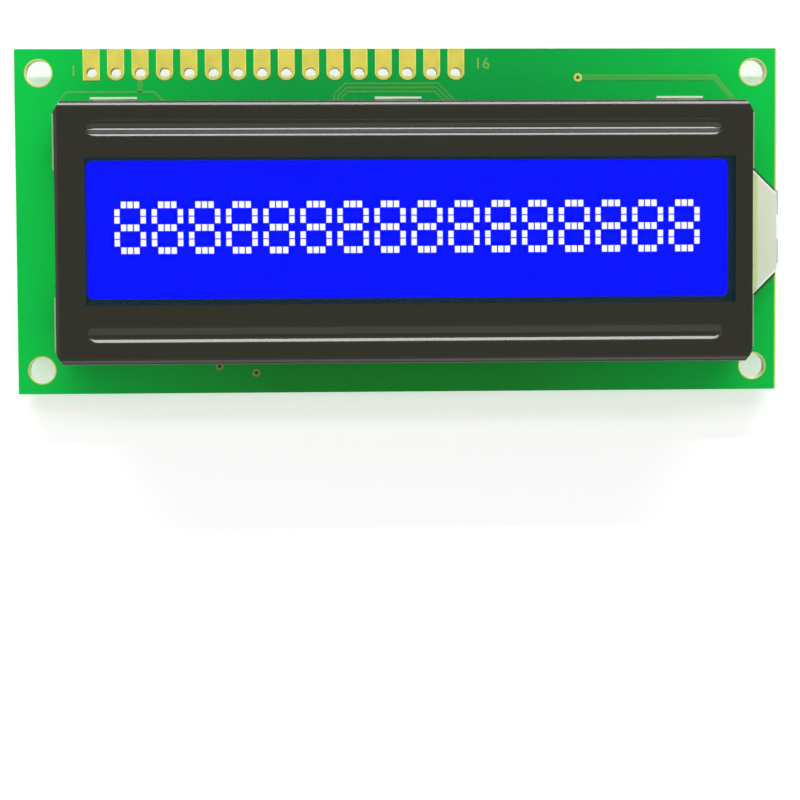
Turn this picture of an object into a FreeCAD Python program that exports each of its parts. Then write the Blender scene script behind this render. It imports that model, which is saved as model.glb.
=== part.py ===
import FreeCAD, Part
import math
import os

import Sketcher

# A sixteen-character display module: a printed board carries a liquid crystal cell, its
# backlight and its controller, and a folded steel bezel with six twisted tabs clamps them.
# The origin is the centre of the four mounting holes on the back face of the board. +Z points
# out of the display, +Y points to the row of connector holes. Lengths in mm, angles in degrees.

SIZES = [
    ("board_length", 80.0, "printed board along X"),
    ("board_width", 36.0, "printed board along Y"),
    ("board_thickness", 1.6, "printed board along Z"),
    ("copper", 0.05, "raised copper with its tin finish"),
    ("mount_inset_x", 2.5, "mounting holes to the short edges of the board"),
    ("mount_inset_y", 2.5, "mounting holes to the long edges of the board"),
    ("mount_hole_radius", 1.35, "mounting hole"),
    ("header_count", 16, "connector holes"),
    ("header_pitch", 2.54, "connector holes, centre to centre"),
    ("header_from_side", 8.0, "first connector hole to the left edge of the board"),
    ("header_from_edge", 2.5, "connector holes to the long edge of the board"),
    ("header_hole_radius", 0.5, "finished connector hole"),
    ("barrel_wall", 0.06, "plating in a connector hole"),
    ("header_pad_width", 1.76, "pad round a connector hole"),
    ("header_pad_gap", 0.3, "back pads to the edge of the board"),
    ("bezel_side_margin", 4.55, "bezel to the short edges of the board"),
    ("bezel_top_margin", 5.92, "bezel to the board edge at the connector holes"),
    ("bezel_low_margin", 3.58, "bezel to the other long edge of the board"),
    ("bezel_height", 8.0, "board front to bezel face"),
    ("sheet", 0.45, "steel sheet of the bezel"),
    ("bend_radius", 0.6, "outer radius of the folds"),
    ("window_left", 3.3, "window to the left side of the bezel"),
    ("window_right", 1.6, "window to the right side of the bezel"),
    ("window_top", 5.74, "window to the top side of the bezel"),
    ("window_low", 5.86, "window to the low side of the bezel"),
    ("window_radius", 0.25, "window corner"),
    ("bead_end_gap", 2.95, "pressed bead to the short sides of the bezel"),
    ("bead_width", 1.8, "pressed bead at the face"),
    ("bead_depth", 0.4, "pressed bead, down to the glass"),
    ("bead_inset", 2.9, "bead centre line to the long edge of the bezel"),
    ("bead_draft", 35.0, "lean of the bead's flanks"),
    ("corner_relief_x", 0.53, "corner cut-out of the bezel"),
    ("corner_relief_y", 1.2, "corner cut-out of the bezel"),
    ("side_gap", 12.9, "opening in the short walls of the bezel"),
    ("side_gap_shift", -0.2, "that opening from the bezel centre"),
    ("side_trim", 0.2, "face edge set back at that opening"),
    ("tab_width", 5.1, "bezel tab along X"),
    ("tab_inset", 5.7, "outer tabs, centre to the short sides of the bezel"),
    ("tab_reach", 1.7, "tab beyond the back of the board"),
    ("tab_lean", 0.6, "shift of the tab end towards the board centre"),
    ("tab_twist_strong", 36.0, "turn of the two tabs beside the chip resistors"),
    ("tab_twist_weak", 30.0, "turn of the other four tabs"),
    ("slot_length", 5.7, "slot in the board for a tab"),
    ("slot_width", 1.25, "slot in the board for a tab"),
    ("ground_pad_length", 5.9, "copper beside a tab slot"),
    ("ground_pad_width", 1.45, "copper beside a tab slot"),
    ("ground_pad_gap", 0.02, "tab slot to that copper"),
    ("glass", 1.1, "each glass plate"),
    ("cell_gap", 0.1, "seal between the glass plates"),
    ("seal_width", 1.2, "seal between the glass plates"),
    ("glass_side_gap", 0.3, "front glass to the inside of the bezel"),
    ("ledge", 2.2, "front glass beyond the rear glass"),
    ("polariser", 0.2, "each polarising film"),
    ("film_bead_gap", 0.12, "front film to the beads"),
    ("film_inset", 0.5, "films to the edges of the rear glass"),
    ("diffuser", 0.2, "white diffuser sheet"),
    ("reflector", 0.2, "white reflector sheet"),
    ("guide_inset", 0.5, "light guide to the edge of the rear glass"),
    ("zebra_end_gap", 1.7, "elastomer connector to the end of the front glass"),
    ("zebra_width", 2.0, "elastomer connector along Y"),
    ("zebra_wall_gap", 0.05, "elastomer connector to the bezel wall"),
    ("housing_height", 3.3, "tall part of the lamp housing above the board"),
    ("housing_inset", 0.8, "inner end of the lamp housing inside the bezel wall"),
    ("housing_gap", 0.1, "lamp housing to each edge of the opening in the wall"),
    ("housing_reach", 1.75, "tall part of the housing beyond the bezel wall"),
    ("housing_shoulder", 0.2, "straight part of the flange beyond the tall part"),
    ("housing_end_width", 8.2, "flange at the board edge"),
    ("housing_wall", 0.6, "moulded wall of the lamp housing"),
    ("flange_height", 1.0, "flange of the lamp housing above the board"),
    ("rim_radius", 0.2, "rounded rim of the lamp housing"),
    ("lamp_board", 0.4, "lamp board thickness"),
    ("lamp_count", 3, "lamps"),
    ("lamp_gap", 0.6, "lamp to the next lamp"),
    ("lamp_end_gap", 0.2, "outer lamps to the ends of their recess"),
    ("lamp_depth", 1.2, "lamp along X"),
    ("lamp_height", 1.1, "lamp along Z"),
    ("lead", 0.25, "flat lead of the backlight"),
    ("lead_width", 2.6, "flat lead along Y"),
    ("lead_upper", 3.14, "upper lead above the middle of the lamp housing"),
    ("lead_lower", 2.0, "lower lead below the middle of the lamp housing"),
    ("lead_inside", 3.0, "lead under the lamp board"),
    ("lead_reach", 0.7, "lead beyond the back of the board"),
    ("joint_length", 3.3, "solder joint of a lead along X"),
    ("joint_width", 3.15, "solder joint of a lead along Y"),
    ("joint_toe", 0.15, "solder height at its thin end"),
    ("blob_top_gap", 2.02, "black epoxy drop to the upper row of tab copper"),
    ("blob_low_gap", 5.44, "black epoxy drop to the lower row of tab copper"),
    ("blob_height", 1.45, "black epoxy drop"),
    ("blob_x", -2.54, "drop centre"),
    ("die_length", 4.6, "controller die"),
    ("die_width", 3.4, "controller die"),
    ("die_height", 0.35, "controller die"),
    ("label_length", 20.0, "paper label"),
    ("label_width", 10.0, "paper label"),
    ("label_thickness", 0.1, "paper label"),
    ("label_radius", 0.6, "paper label corner"),
    ("label_x", 17.2, "label centre"),
    ("label_from_pads", 8.26, "label centre to the upper row of tab copper"),
    ("label_turn", 5.6, "label turned on the board"),
    ("chip_length", 2.0, "small chip resistor"),
    ("chip_width", 1.25, "small chip resistor"),
    ("chip_height", 0.5, "small chip resistor"),
    ("large_chip_length", 3.2, "large chip resistor"),
    ("large_chip_width", 1.6, "large chip resistor"),
    ("cap_length", 0.42, "metal end of a chip resistor"),
    ("cap_wall", 0.05, "metal end of a chip resistor"),
    ("chip_pad_reach", 0.95, "copper beyond the end of a chip resistor"),
    ("chip_pad_under", 0.45, "copper under the end of a chip resistor"),
    ("solder_share", 0.8, "solder fillet height as a share of the chip's"),
    ("spare_pad_length", 1.7, "copper of the empty resistor place"),
    ("spare_pad_width", 1.7, "copper of the empty resistor place"),
    ("spare_pitch", 3.45, "empty resistor place, centre to centre"),
    ("spare_from_side", 4.88, "empty resistor place to the right edge of the board"),
    ("large_chip_from_side", 1.86, "large chip resistor to the right edge of the board"),
    ("large_chip_from_housing", 8.87, "large chip resistor above the middle of the lamp housing"),
    ("link_from_side", 17.12, "first link to the right edge of the board"),
    ("link_pitch", 2.54, "links, centre to centre"),
    ("link_from_top", 4.39, "both links to the top edge of the board"),
    ("array_from_side", 4.9, "middle column of the six resistors to the left edge"),
    ("array_pitch", 3.06, "columns of the six resistors"),
    ("array_upper_y", 2.7, "upper row of the six resistors"),
    ("array_lower_y", -3.81, "lower row of the six resistors"),
]

document = FreeCAD.newDocument("display_module")
sheet = document.addObject("Spreadsheet::Sheet", "sizes")


class Size:
    """A number that also keeps the sheet formula it comes from."""

    def __init__(self, number, formula):
        self.number = number
        self.formula = formula

    def __add__(self, other):
        return Size(self.number + number(other), f"({self.formula} + {formula(other)})")

    def __sub__(self, other):
        return Size(self.number - number(other), f"({self.formula} - {formula(other)})")

    def __mul__(self, other):
        return Size(self.number * number(other), f"({self.formula} * {formula(other)})")

    def __truediv__(self, other):
        return Size(self.number / number(other), f"({self.formula} / {formula(other)})")

    def __neg__(self):
        return Size(-self.number, f"(-1 * {self.formula})")


def number(value):
    return value.number if isinstance(value, Size) else value


def formula(value):
    return value.formula if isinstance(value, Size) else f"({value})"


def tangent(angle):
    return Size(math.tan(math.radians(angle.number)), f"tan({angle.formula} * 1 deg)")


def cosine(angle):
    return Size(math.cos(math.radians(angle.number)), f"cos({angle.formula} * 1 deg)")


def fill_sheet():
    """Write the sizes to the sheet and hand them back by name."""
    named = {}
    for row, (name, value, note) in enumerate(SIZES, 1):
        sheet.set(f"A{row}", name)
        sheet.set(f"B{row}", str(value))
        sheet.set(f"C{row}", note)
        sheet.setAlias(f"B{row}", name)
        named[name] = Size(value, f"sizes.{name}")
    document.recompute()
    return named


s = fill_sheet()

# Places that several pieces share

ZERO = Size(0.0, "0")
BOARD_END = s["board_length"] / 2
BOARD_TOP = s["board_width"] / 2
FRONT = s["board_thickness"]
MOUNT_X = BOARD_END - s["mount_inset_x"]
MOUNT_Y = BOARD_TOP - s["mount_inset_y"]
BEZEL_LENGTH = s["board_length"] - s["bezel_side_margin"] * 2
BEZEL_WIDTH = s["board_width"] - s["bezel_top_margin"] - s["bezel_low_margin"]
BEZEL_Y = (s["bezel_low_margin"] - s["bezel_top_margin"]) / 2
BEZEL_TOP = s["bezel_height"]
INNER_LENGTH = BEZEL_LENGTH - s["sheet"] * 2
INNER_WIDTH = BEZEL_WIDTH - s["sheet"] * 2
BEAD_SPREAD = (s["sheet"] / cosine(s["bead_draft"]) - s["sheet"] * tangent(s["bead_draft"])) * 2
TAB_PITCH = BEZEL_LENGTH / 2 - s["tab_inset"]
FRONT_GLASS_LENGTH = INNER_LENGTH - s["glass_side_gap"] * 2
FRONT_GLASS_WIDTH = INNER_WIDTH - s["glass_side_gap"] * 2
REAR_GLASS_WIDTH = FRONT_GLASS_WIDTH - s["ledge"] * 2
FRONT_FILM_WIDTH = BEZEL_WIDTH - (s["bead_inset"] + s["film_bead_gap"]) * 2 - s["bead_width"] - BEAD_SPREAD
FRONT_GLASS_TOP = FRONT + BEZEL_TOP - s["sheet"] - s["bead_depth"]
FRONT_GLASS_Z = FRONT_GLASS_TOP - s["glass"]
SEAL_Z = FRONT_GLASS_Z - s["cell_gap"]
REAR_GLASS_Z = SEAL_Z - s["glass"]
REAR_FILM_Z = REAR_GLASS_Z - s["polariser"]
DIFFUSER_Z = REAR_FILM_Z - s["diffuser"]
GUIDE_Z = FRONT + s["reflector"]
HOUSING_START = INNER_LENGTH / 2 - s["housing_inset"]
HOUSING_Y = BEZEL_Y + s["side_gap_shift"]
LEAD_PLACES = (("upper", HOUSING_Y + s["lead_upper"]), ("lower", HOUSING_Y - s["lead_lower"]))
LAMP_ROOM = s["housing_end_width"] - s["housing_wall"] * 2
LAMP_PITCH = (LAMP_ROOM - s["lamp_end_gap"] * 2 + s["lamp_gap"]) / s["lamp_count"]
WALL_MIDDLE = (BEZEL_WIDTH - s["sheet"]) / 2
PAD_EDGE = WALL_MIDDLE - s["slot_width"] / 2 - s["ground_pad_gap"] - s["ground_pad_width"]
BLOB_RADIUS = (PAD_EDGE * 2 - s["blob_top_gap"] - s["blob_low_gap"]) / 2
BLOB_Y = BEZEL_Y + (s["blob_low_gap"] - s["blob_top_gap"]) / 2
HEADER_Y = BOARD_TOP - s["header_from_edge"]
HEADER_X = s["header_from_side"] - BOARD_END
SMALL = 0.001
nodes = []


# Helpers for sketches and features

def bind(thing, path, value):
    """Tie one property of an object to the sheet."""
    if isinstance(value, Size):
        thing.setExpression(path, value.formula)
        return
    setattr(thing, path, value)


def place(thing, x=ZERO, y=ZERO, z=ZERO):
    bind(thing, "Placement.Base.x", x)
    bind(thing, "Placement.Base.y", y)
    bind(thing, "Placement.Base.z", z)


def new_body(name, x=ZERO, y=ZERO, z=ZERO):
    body = document.addObject("PartDesign::Body", name)
    body.Label = name
    place(body, x, y, z)
    return body


def origin_plane(body, role):
    return next(item for item in body.Origin.OriginFeatures if item.Role == role)


def new_sketch(body, name, role="XY_Plane", x=ZERO, y=ZERO, lift=ZERO):
    """A sketch on an origin plane of its body, moved in that plane and lifted off it."""
    sketch = body.newObject("Sketcher::SketchObject", name)
    sketch.AttachmentSupport = [(origin_plane(body, role), "")]
    sketch.MapMode = "FlatFace"
    bind(sketch, "AttachmentOffset.Base.x", x)
    bind(sketch, "AttachmentOffset.Base.y", y)
    bind(sketch, "AttachmentOffset.Base.z", lift)
    return sketch


def dimension(sketch, kind, *where):
    """Add one dimension whose value comes from the sheet."""
    *ends, value = where
    index = sketch.addConstraint(Sketcher.Constraint(kind, *ends, number(value)))
    if isinstance(value, Size):
        sketch.setExpression(f"Constraints[{index}]", value.formula)


def pin_point(sketch, geometry, end, x, y):
    dimension(sketch, "DistanceX", -1, 1, geometry, end, x)
    dimension(sketch, "DistanceY", -1, 1, geometry, end, y)


def flat(x, y):
    return FreeCAD.Vector(number(x), number(y), 0)


def draw_polygon(sketch, corners):
    """A closed outline of straight lines through corners that are each dimensioned."""
    count = len(corners)
    first = sketch.GeometryCount
    for here, there in zip(corners, corners[1:] + corners[:1]):
        sketch.addGeometry(Part.LineSegment(flat(*here), flat(*there)))
    for index in range(count):
        following = first + (index + 1) % count
        sketch.addConstraint(Sketcher.Constraint("Coincident", first + index, 2, following, 1))
    for index, (x, y) in enumerate(corners):
        pin_point(sketch, first + index, 1, x, y)


def draw_rectangle(sketch, length, width, x=ZERO, y=ZERO):
    left = x - length / 2
    right = x + length / 2
    low = y - width / 2
    high = y + width / 2
    draw_polygon(sketch, [(left, low), (right, low), (right, high), (left, high)])


def draw_circle(sketch, radius, x=ZERO, y=ZERO):
    circle = sketch.addGeometry(Part.Circle(flat(x, y), FreeCAD.Vector(0, 0, 1), radius.number))
    pin_point(sketch, circle, 3, x, y)
    dimension(sketch, "Radius", circle, radius)


def draw_slot(sketch, length, width, x=ZERO, y=ZERO):
    """A slot along the sketch's first axis, with a half circle at each end."""
    radius = width / 2
    reach = (length - width) / 2
    up = FreeCAD.Vector(0, 0, 1)
    ends = []
    for side, start in ((-1, math.pi / 2), (1, -math.pi / 2)):
        circle = Part.Circle(flat(x + reach * side, y), up, radius.number)
        arc = sketch.addGeometry(Part.ArcOfCircle(circle, start, start + math.pi))
        pin_point(sketch, arc, 3, x + reach * side, y)
        ends.append(arc)
    left, right = ends
    low = sketch.addGeometry(Part.LineSegment(flat(x - reach, y - radius), flat(x + reach, y - radius)))
    high = sketch.addGeometry(Part.LineSegment(flat(x + reach, y + radius), flat(x - reach, y + radius)))
    for one, one_end, other, other_end in (
        (left, 2, low, 1), (low, 2, right, 1), (right, 2, high, 1), (high, 2, left, 1)
    ):
        sketch.addConstraint(Sketcher.Constraint("Tangent", one, one_end, other, other_end))
    sketch.addConstraint(Sketcher.Constraint("Equal", left, right))
    dimension(sketch, "Radius", left, radius)


def extrude(body, kind, name, sketch, length, reverse=False, draft=None, middle=False):
    """A Pad or a Pocket of the sketch."""
    feature = body.newObject(f"PartDesign::{kind}", name)
    feature.Profile = sketch
    feature.Reversed = reverse
    if middle:
        feature.SideType = "Symmetric"
    bind(feature, "Length", length)
    if draft is not None:
        bind(feature, "TaperAngle", draft)
    document.recompute()
    return feature


def edge_names(shape, test):
    """Names of the edges whose bounding box passes the test."""
    return [f"Edge{n}" for n, edge in enumerate(shape.Edges, 1) if test(edge.BoundBox)]


def round_edges(body, name, base, radius, test):
    feature = body.newObject("PartDesign::Fillet", name)
    feature.Base = (base, edge_names(base.Shape, test))
    bind(feature, "Radius", radius)
    document.recompute()
    return feature


def repeat_along(body, name, features, role, spacing, count):
    """A row of copies, from the first one towards the positive end of an origin axis."""
    pattern = body.newObject("PartDesign::LinearPattern", name)
    pattern.Originals = features
    pattern.Direction = (origin_plane(body, role), [""])
    bind(pattern, "Length", spacing * (count - 1))
    bind(pattern, "Occurrences", count)
    body.Tip = pattern
    document.recompute()
    return pattern


def mirror_across(body, name, features, role):
    mirror = body.newObject("PartDesign::Mirrored", name)
    mirror.Originals = features
    mirror.MirrorPlane = (origin_plane(body, role), [""])
    body.Tip = mirror
    document.recompute()
    return mirror


def slab(name, length, width, height, x=ZERO, y=ZERO, z=ZERO):
    """A flat block centred on x and y that stands on z."""
    box = document.addObject("Part::Box", name)
    box.Label = name
    bind(box, "Length", length)
    bind(box, "Width", width)
    bind(box, "Height", height)
    place(box, x - length / 2, y - width / 2, z)
    return box


def boolean(name, kind, base, tool):
    result = document.addObject(f"Part::{kind}", name)
    result.Label = name
    result.Base = base
    result.Tool = tool
    return result


def group(name, members):
    """Separate solids of one kind kept together."""
    compound = document.addObject("Part::Compound", name)
    compound.Label = name
    compound.Links = members
    return compound


def keep(thing):
    nodes.append(thing)
    return thing


# Printed board

def make_board():
    body = new_body("circuit_board")
    outline = new_sketch(body, "board_outline")
    draw_rectangle(outline, s["board_length"], s["board_width"])
    extrude(body, "Pad", "board_plate", outline, s["board_thickness"])
    holes = new_sketch(body, "mounting_hole_sketch")
    for side in (-1, 1):
        for end in (-1, 1):
            draw_circle(holes, s["mount_hole_radius"], MOUNT_X * side, MOUNT_Y * end)
    extrude(body, "Pocket", "mounting_holes", holes, s["board_thickness"], reverse=True)
    slots = new_sketch(body, "tab_slot_sketch", y=BEZEL_Y)
    for side in (-1, 0, 1):
        for end in (-1, 1):
            draw_slot(slots, s["slot_length"], s["slot_width"], TAB_PITCH * side, WALL_MIDDLE * end)
    extrude(body, "Pocket", "tab_slots", slots, s["board_thickness"], reverse=True)
    drill = new_sketch(body, "connector_hole_sketch")
    draw_circle(drill, s["header_hole_radius"] + s["barrel_wall"], HEADER_X, HEADER_Y)
    hole = extrude(body, "Pocket", "connector_hole", drill, s["board_thickness"], reverse=True)
    repeat_along(body, "connector_holes", [hole], "X_Axis", s["header_pitch"], s["header_count"])
    keep(body)


def draw_header_pad(sketch, gap, square):
    """Pad outline from the board edge past the hole, with a round or a square inner end."""
    half = s["header_pad_width"] / 2
    top = s["header_from_edge"] - gap
    if square:
        draw_polygon(sketch, [(-half, -half), (half, -half), (half, top), (-half, top)])
        return
    up = FreeCAD.Vector(0, 0, 1)
    circle = Part.Circle(flat(ZERO, ZERO), up, half.number)
    arc = sketch.addGeometry(Part.ArcOfCircle(circle, math.pi, 2 * math.pi))
    right = sketch.addGeometry(Part.LineSegment(flat(half, ZERO), flat(half, top)))
    edge = sketch.addGeometry(Part.LineSegment(flat(half, top), flat(-half, top)))
    left = sketch.addGeometry(Part.LineSegment(flat(-half, top), flat(-half, ZERO)))
    pin_point(sketch, arc, 3, ZERO, ZERO)
    sketch.addConstraint(Sketcher.Constraint("Tangent", arc, 2, right, 1))
    sketch.addConstraint(Sketcher.Constraint("Coincident", right, 2, edge, 1))
    sketch.addConstraint(Sketcher.Constraint("Coincident", edge, 2, left, 1))
    sketch.addConstraint(Sketcher.Constraint("Tangent", left, 2, arc, 1))
    pin_point(sketch, edge, 1, half, top)
    pin_point(sketch, edge, 2, -half, top)


def add_header_eyelet(body, name, offset, square):
    """Front pad, back pad and plated barrel of one connector hole."""
    barrel_sketch = new_sketch(body, f"{name}_barrel_sketch", x=offset)
    draw_circle(barrel_sketch, s["header_hole_radius"] + s["barrel_wall"])
    barrel = extrude(body, "Pad", f"{name}_barrel", barrel_sketch, s["board_thickness"])
    front_sketch = new_sketch(body, f"{name}_front_sketch", x=offset, lift=FRONT)
    draw_header_pad(front_sketch, ZERO, square)
    front = extrude(body, "Pad", f"{name}_front_pad", front_sketch, s["copper"])
    back_sketch = new_sketch(body, f"{name}_back_sketch", x=offset)
    draw_header_pad(back_sketch, s["header_pad_gap"], square)
    back = extrude(body, "Pad", f"{name}_back_pad", back_sketch, s["copper"], reverse=True)
    hole_sketch = new_sketch(body, f"{name}_hole_sketch", x=offset, lift=-s["copper"])
    draw_circle(hole_sketch, s["header_hole_radius"])
    depth = s["board_thickness"] + s["copper"] * 2
    hole = extrude(body, "Pocket", f"{name}_hole", hole_sketch, depth, reverse=True)
    return [barrel, front, back, hole]


def make_header_pads():
    body = new_body("header_pads", HEADER_X, HEADER_Y)
    round_eyelet = add_header_eyelet(body, "round", s["header_pitch"], False)
    repeat_along(body, "round_row", round_eyelet, "X_Axis", s["header_pitch"], s["header_count"] - 1)
    add_header_eyelet(body, "square", ZERO, True)
    keep(body)


def make_ground_pads():
    """Bare copper beside each tab slot, on the side of the board centre."""
    pads = []
    reach = PAD_EDGE + s["ground_pad_width"] / 2
    for end, row in ((-1, "lower"), (1, "upper")):
        for side, place_name in ((-1, "left"), (0, "middle"), (1, "right")):
            pads.append(slab(f"ground_pad_{row}_{place_name}", s["ground_pad_length"], s["ground_pad_width"],
                             s["copper"], TAB_PITCH * side, BEZEL_Y + reach * end, -s["copper"]))
    keep(group("bezel_ground_pads", pads))


# Folded bezel

def add_tab(body, name, x, side, twist):
    """A tab: a straight strip through the board, then a stretch that turns as it goes down.

    The strip's outline is lofted through sections that turn and shift towards the board
    centre, most of it close to the board, where a plier bends a real tab.
    """
    y = WALL_MIDDLE * side
    root = new_sketch(body, f"{name}_root_sketch", x=x, y=y)
    draw_rectangle(root, s["tab_width"], s["sheet"])
    extrude(body, "Pad", f"{name}_root", root, s["board_thickness"], reverse=True)
    sections = []
    for index, (depth, turn) in enumerate(((0.0, 0.0), (0.3, 0.55), (0.65, 0.9), (1.0, 1.0))):
        section = new_sketch(body, f"{name}_section_{index}", x=x, y=y - s["tab_lean"] * (side * turn),
                             lift=-s["board_thickness"] - s["tab_reach"] * depth)
        section.setExpression("AttachmentOffset.Rotation.Angle", (twist * turn).formula)
        draw_rectangle(section, s["tab_width"], s["sheet"])
        sections.append(section)
    loft = body.newObject("PartDesign::AdditiveLoft", f"{name}_twist")
    loft.Profile = sections[0]
    loft.Sections = sections[1:]
    document.recompute()


def add_bead(body, name, side):
    """A pressed bead: the boss it makes inside, then the groove it leaves outside."""
    y = (BEZEL_WIDTH / 2 - s["bead_inset"]) * side
    length = BEZEL_LENGTH - s["bead_end_gap"] * 2
    inside = new_sketch(body, f"{name}_inner_sketch", y=y, lift=BEZEL_TOP - s["sheet"])
    draw_slot(inside, length + BEAD_SPREAD, s["bead_width"] + BEAD_SPREAD)
    extrude(body, "Pad", f"{name}_boss", inside, s["bead_depth"], reverse=True, draft=-s["bead_draft"])
    outside = new_sketch(body, f"{name}_outer_sketch", y=y, lift=BEZEL_TOP)
    draw_slot(outside, length, s["bead_width"])
    extrude(body, "Pocket", f"{name}_groove", outside, s["bead_depth"], draft=-s["bead_draft"])


def cut_corners(body):
    """At each corner the walls stop short of each other, and the face is cut off at a slant."""
    walls = new_sketch(body, "corner_relief_sketch")
    slants = new_sketch(body, "corner_slant_sketch")
    for side in (-1, 1):
        for end in (-1, 1):
            tip_x = BEZEL_LENGTH / 2 * side
            tip_y = BEZEL_WIDTH / 2 * end
            inner_x = tip_x - s["corner_relief_x"] * side
            inner_y = tip_y - s["corner_relief_y"] * end
            draw_rectangle(walls, s["corner_relief_x"], s["corner_relief_y"],
                           (tip_x + inner_x) / 2, (tip_y + inner_y) / 2)
            draw_polygon(slants, [(inner_x, tip_y), (tip_x, tip_y), (tip_x, inner_y)])
    extrude(body, "Pocket", "corner_reliefs", walls, BEZEL_TOP - s["sheet"], reverse=True)
    extrude(body, "Pocket", "corner_slants", slants, BEZEL_TOP, reverse=True)


def make_bezel():
    body = new_body("front_bezel", ZERO, BEZEL_Y, FRONT)
    top = BEZEL_TOP.number
    outline = new_sketch(body, "bezel_outline")
    draw_rectangle(outline, BEZEL_LENGTH, BEZEL_WIDTH)
    block = extrude(body, "Pad", "bezel_block", outline, BEZEL_TOP)
    round_edges(body, "outer_folds", block, s["bend_radius"], lambda box: box.ZMin > top - SMALL)
    inner = new_sketch(body, "bezel_inner_outline")
    draw_rectangle(inner, INNER_LENGTH, INNER_WIDTH)
    hollow = extrude(body, "Pocket", "bezel_hollow", inner, BEZEL_TOP - s["sheet"], reverse=True)
    ceiling = top - s["sheet"].number
    half_inner = INNER_LENGTH.number / 2 + SMALL
    round_edges(body, "inner_folds", hollow, s["bend_radius"] - s["sheet"],
                lambda box: abs(box.ZMin - ceiling) < SMALL and abs(box.ZMax - ceiling) < SMALL
                and box.XMax < half_inner)
    window = new_sketch(body, "window_sketch", lift=BEZEL_TOP)
    left = s["window_left"] - BEZEL_LENGTH / 2
    right = BEZEL_LENGTH / 2 - s["window_right"]
    low = s["window_low"] - BEZEL_WIDTH / 2
    high = BEZEL_WIDTH / 2 - s["window_top"]
    draw_polygon(window, [(left, low), (right, low), (right, high), (left, high)])
    opening = extrude(body, "Pocket", "window", window, s["sheet"])
    round_edges(body, "window_corners", opening, s["window_radius"],
                lambda box: box.ZLength > s["sheet"].number - SMALL and box.ZMin > ceiling - SMALL
                and box.XLength + box.YLength < SMALL and max(-box.XMin, box.XMax) < half_inner - SMALL * 2)
    cut_corners(body)
    gaps = new_sketch(body, "side_gap_sketch", y=s["side_gap_shift"])
    trims = new_sketch(body, "side_trim_sketch", y=s["side_gap_shift"])
    for side in (-1, 1):
        draw_rectangle(gaps, s["sheet"], s["side_gap"], (BEZEL_LENGTH - s["sheet"]) / 2 * side)
        draw_rectangle(trims, s["side_trim"], s["side_gap"], (BEZEL_LENGTH - s["side_trim"]) / 2 * side)
    extrude(body, "Pocket", "side_gaps", gaps, BEZEL_TOP - s["sheet"], reverse=True)
    extrude(body, "Pocket", "side_trims", trims, BEZEL_TOP, reverse=True)
    add_bead(body, "lower_bead", -1)
    add_bead(body, "upper_bead", 1)
    strong = s["tab_twist_strong"]
    weak = s["tab_twist_weak"]
    add_tab(body, "upper_left_tab", -TAB_PITCH, 1, weak)
    add_tab(body, "upper_middle_tab", ZERO, 1, weak)
    add_tab(body, "upper_right_tab", TAB_PITCH, 1, -strong)
    add_tab(body, "lower_left_tab", -TAB_PITCH, -1, -weak)
    add_tab(body, "lower_middle_tab", ZERO, -1, weak)
    add_tab(body, "lower_right_tab", TAB_PITCH, -1, strong)
    keep(body)


# Liquid crystal cell, its films and its elastomer connectors

def make_cell():
    y = BEZEL_Y
    keep(slab("lcd_front_glass", FRONT_GLASS_LENGTH, FRONT_GLASS_WIDTH, s["glass"], ZERO, y, FRONT_GLASS_Z))
    keep(slab("lcd_rear_glass", FRONT_GLASS_LENGTH, REAR_GLASS_WIDTH, s["glass"], ZERO, y, REAR_GLASS_Z))
    outer = slab("seal_outside", FRONT_GLASS_LENGTH, REAR_GLASS_WIDTH, s["cell_gap"], ZERO, y, SEAL_Z)
    inner = slab("seal_inside", FRONT_GLASS_LENGTH - s["seal_width"] * 2,
                 REAR_GLASS_WIDTH - s["seal_width"] * 2, s["cell_gap"], ZERO, y, SEAL_Z)
    keep(boolean("lcd_edge_seal", "Cut", outer, inner))
    film_length = FRONT_GLASS_LENGTH - s["film_inset"] * 2
    keep(slab("front_polariser", film_length, FRONT_FILM_WIDTH, s["polariser"], ZERO, y, FRONT_GLASS_TOP))
    keep(slab("rear_polariser", film_length, REAR_GLASS_WIDTH - s["film_inset"] * 2, s["polariser"],
              ZERO, y, REAR_FILM_Z))


def make_zebra_strips():
    reach = (INNER_WIDTH - s["zebra_width"]) / 2 - s["zebra_wall_gap"]
    for end, name in ((1, "zebra_strip_top"), (-1, "zebra_strip_bottom")):
        keep(slab(name, FRONT_GLASS_LENGTH - s["zebra_end_gap"] * 2, s["zebra_width"], FRONT_GLASS_Z - FRONT,
                  ZERO, BEZEL_Y + reach * end, FRONT))


# Backlight

def make_light_guide():
    """The white sheets and the clear guide end against the lamp housing on the right."""
    left = s["guide_inset"] - FRONT_GLASS_LENGTH / 2
    length = HOUSING_START - left
    middle = (HOUSING_START + left) / 2
    width = REAR_GLASS_WIDTH - s["guide_inset"] * 2
    y = BEZEL_Y
    keep(slab("backlight_reflector", length, width, s["reflector"], middle, y, FRONT))
    keep(slab("backlight_guide", length, width, DIFFUSER_Z - GUIDE_Z, middle, y, GUIDE_Z))
    keep(slab("backlight_diffuser", length, width, s["diffuser"], middle, y, DIFFUSER_Z))


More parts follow.
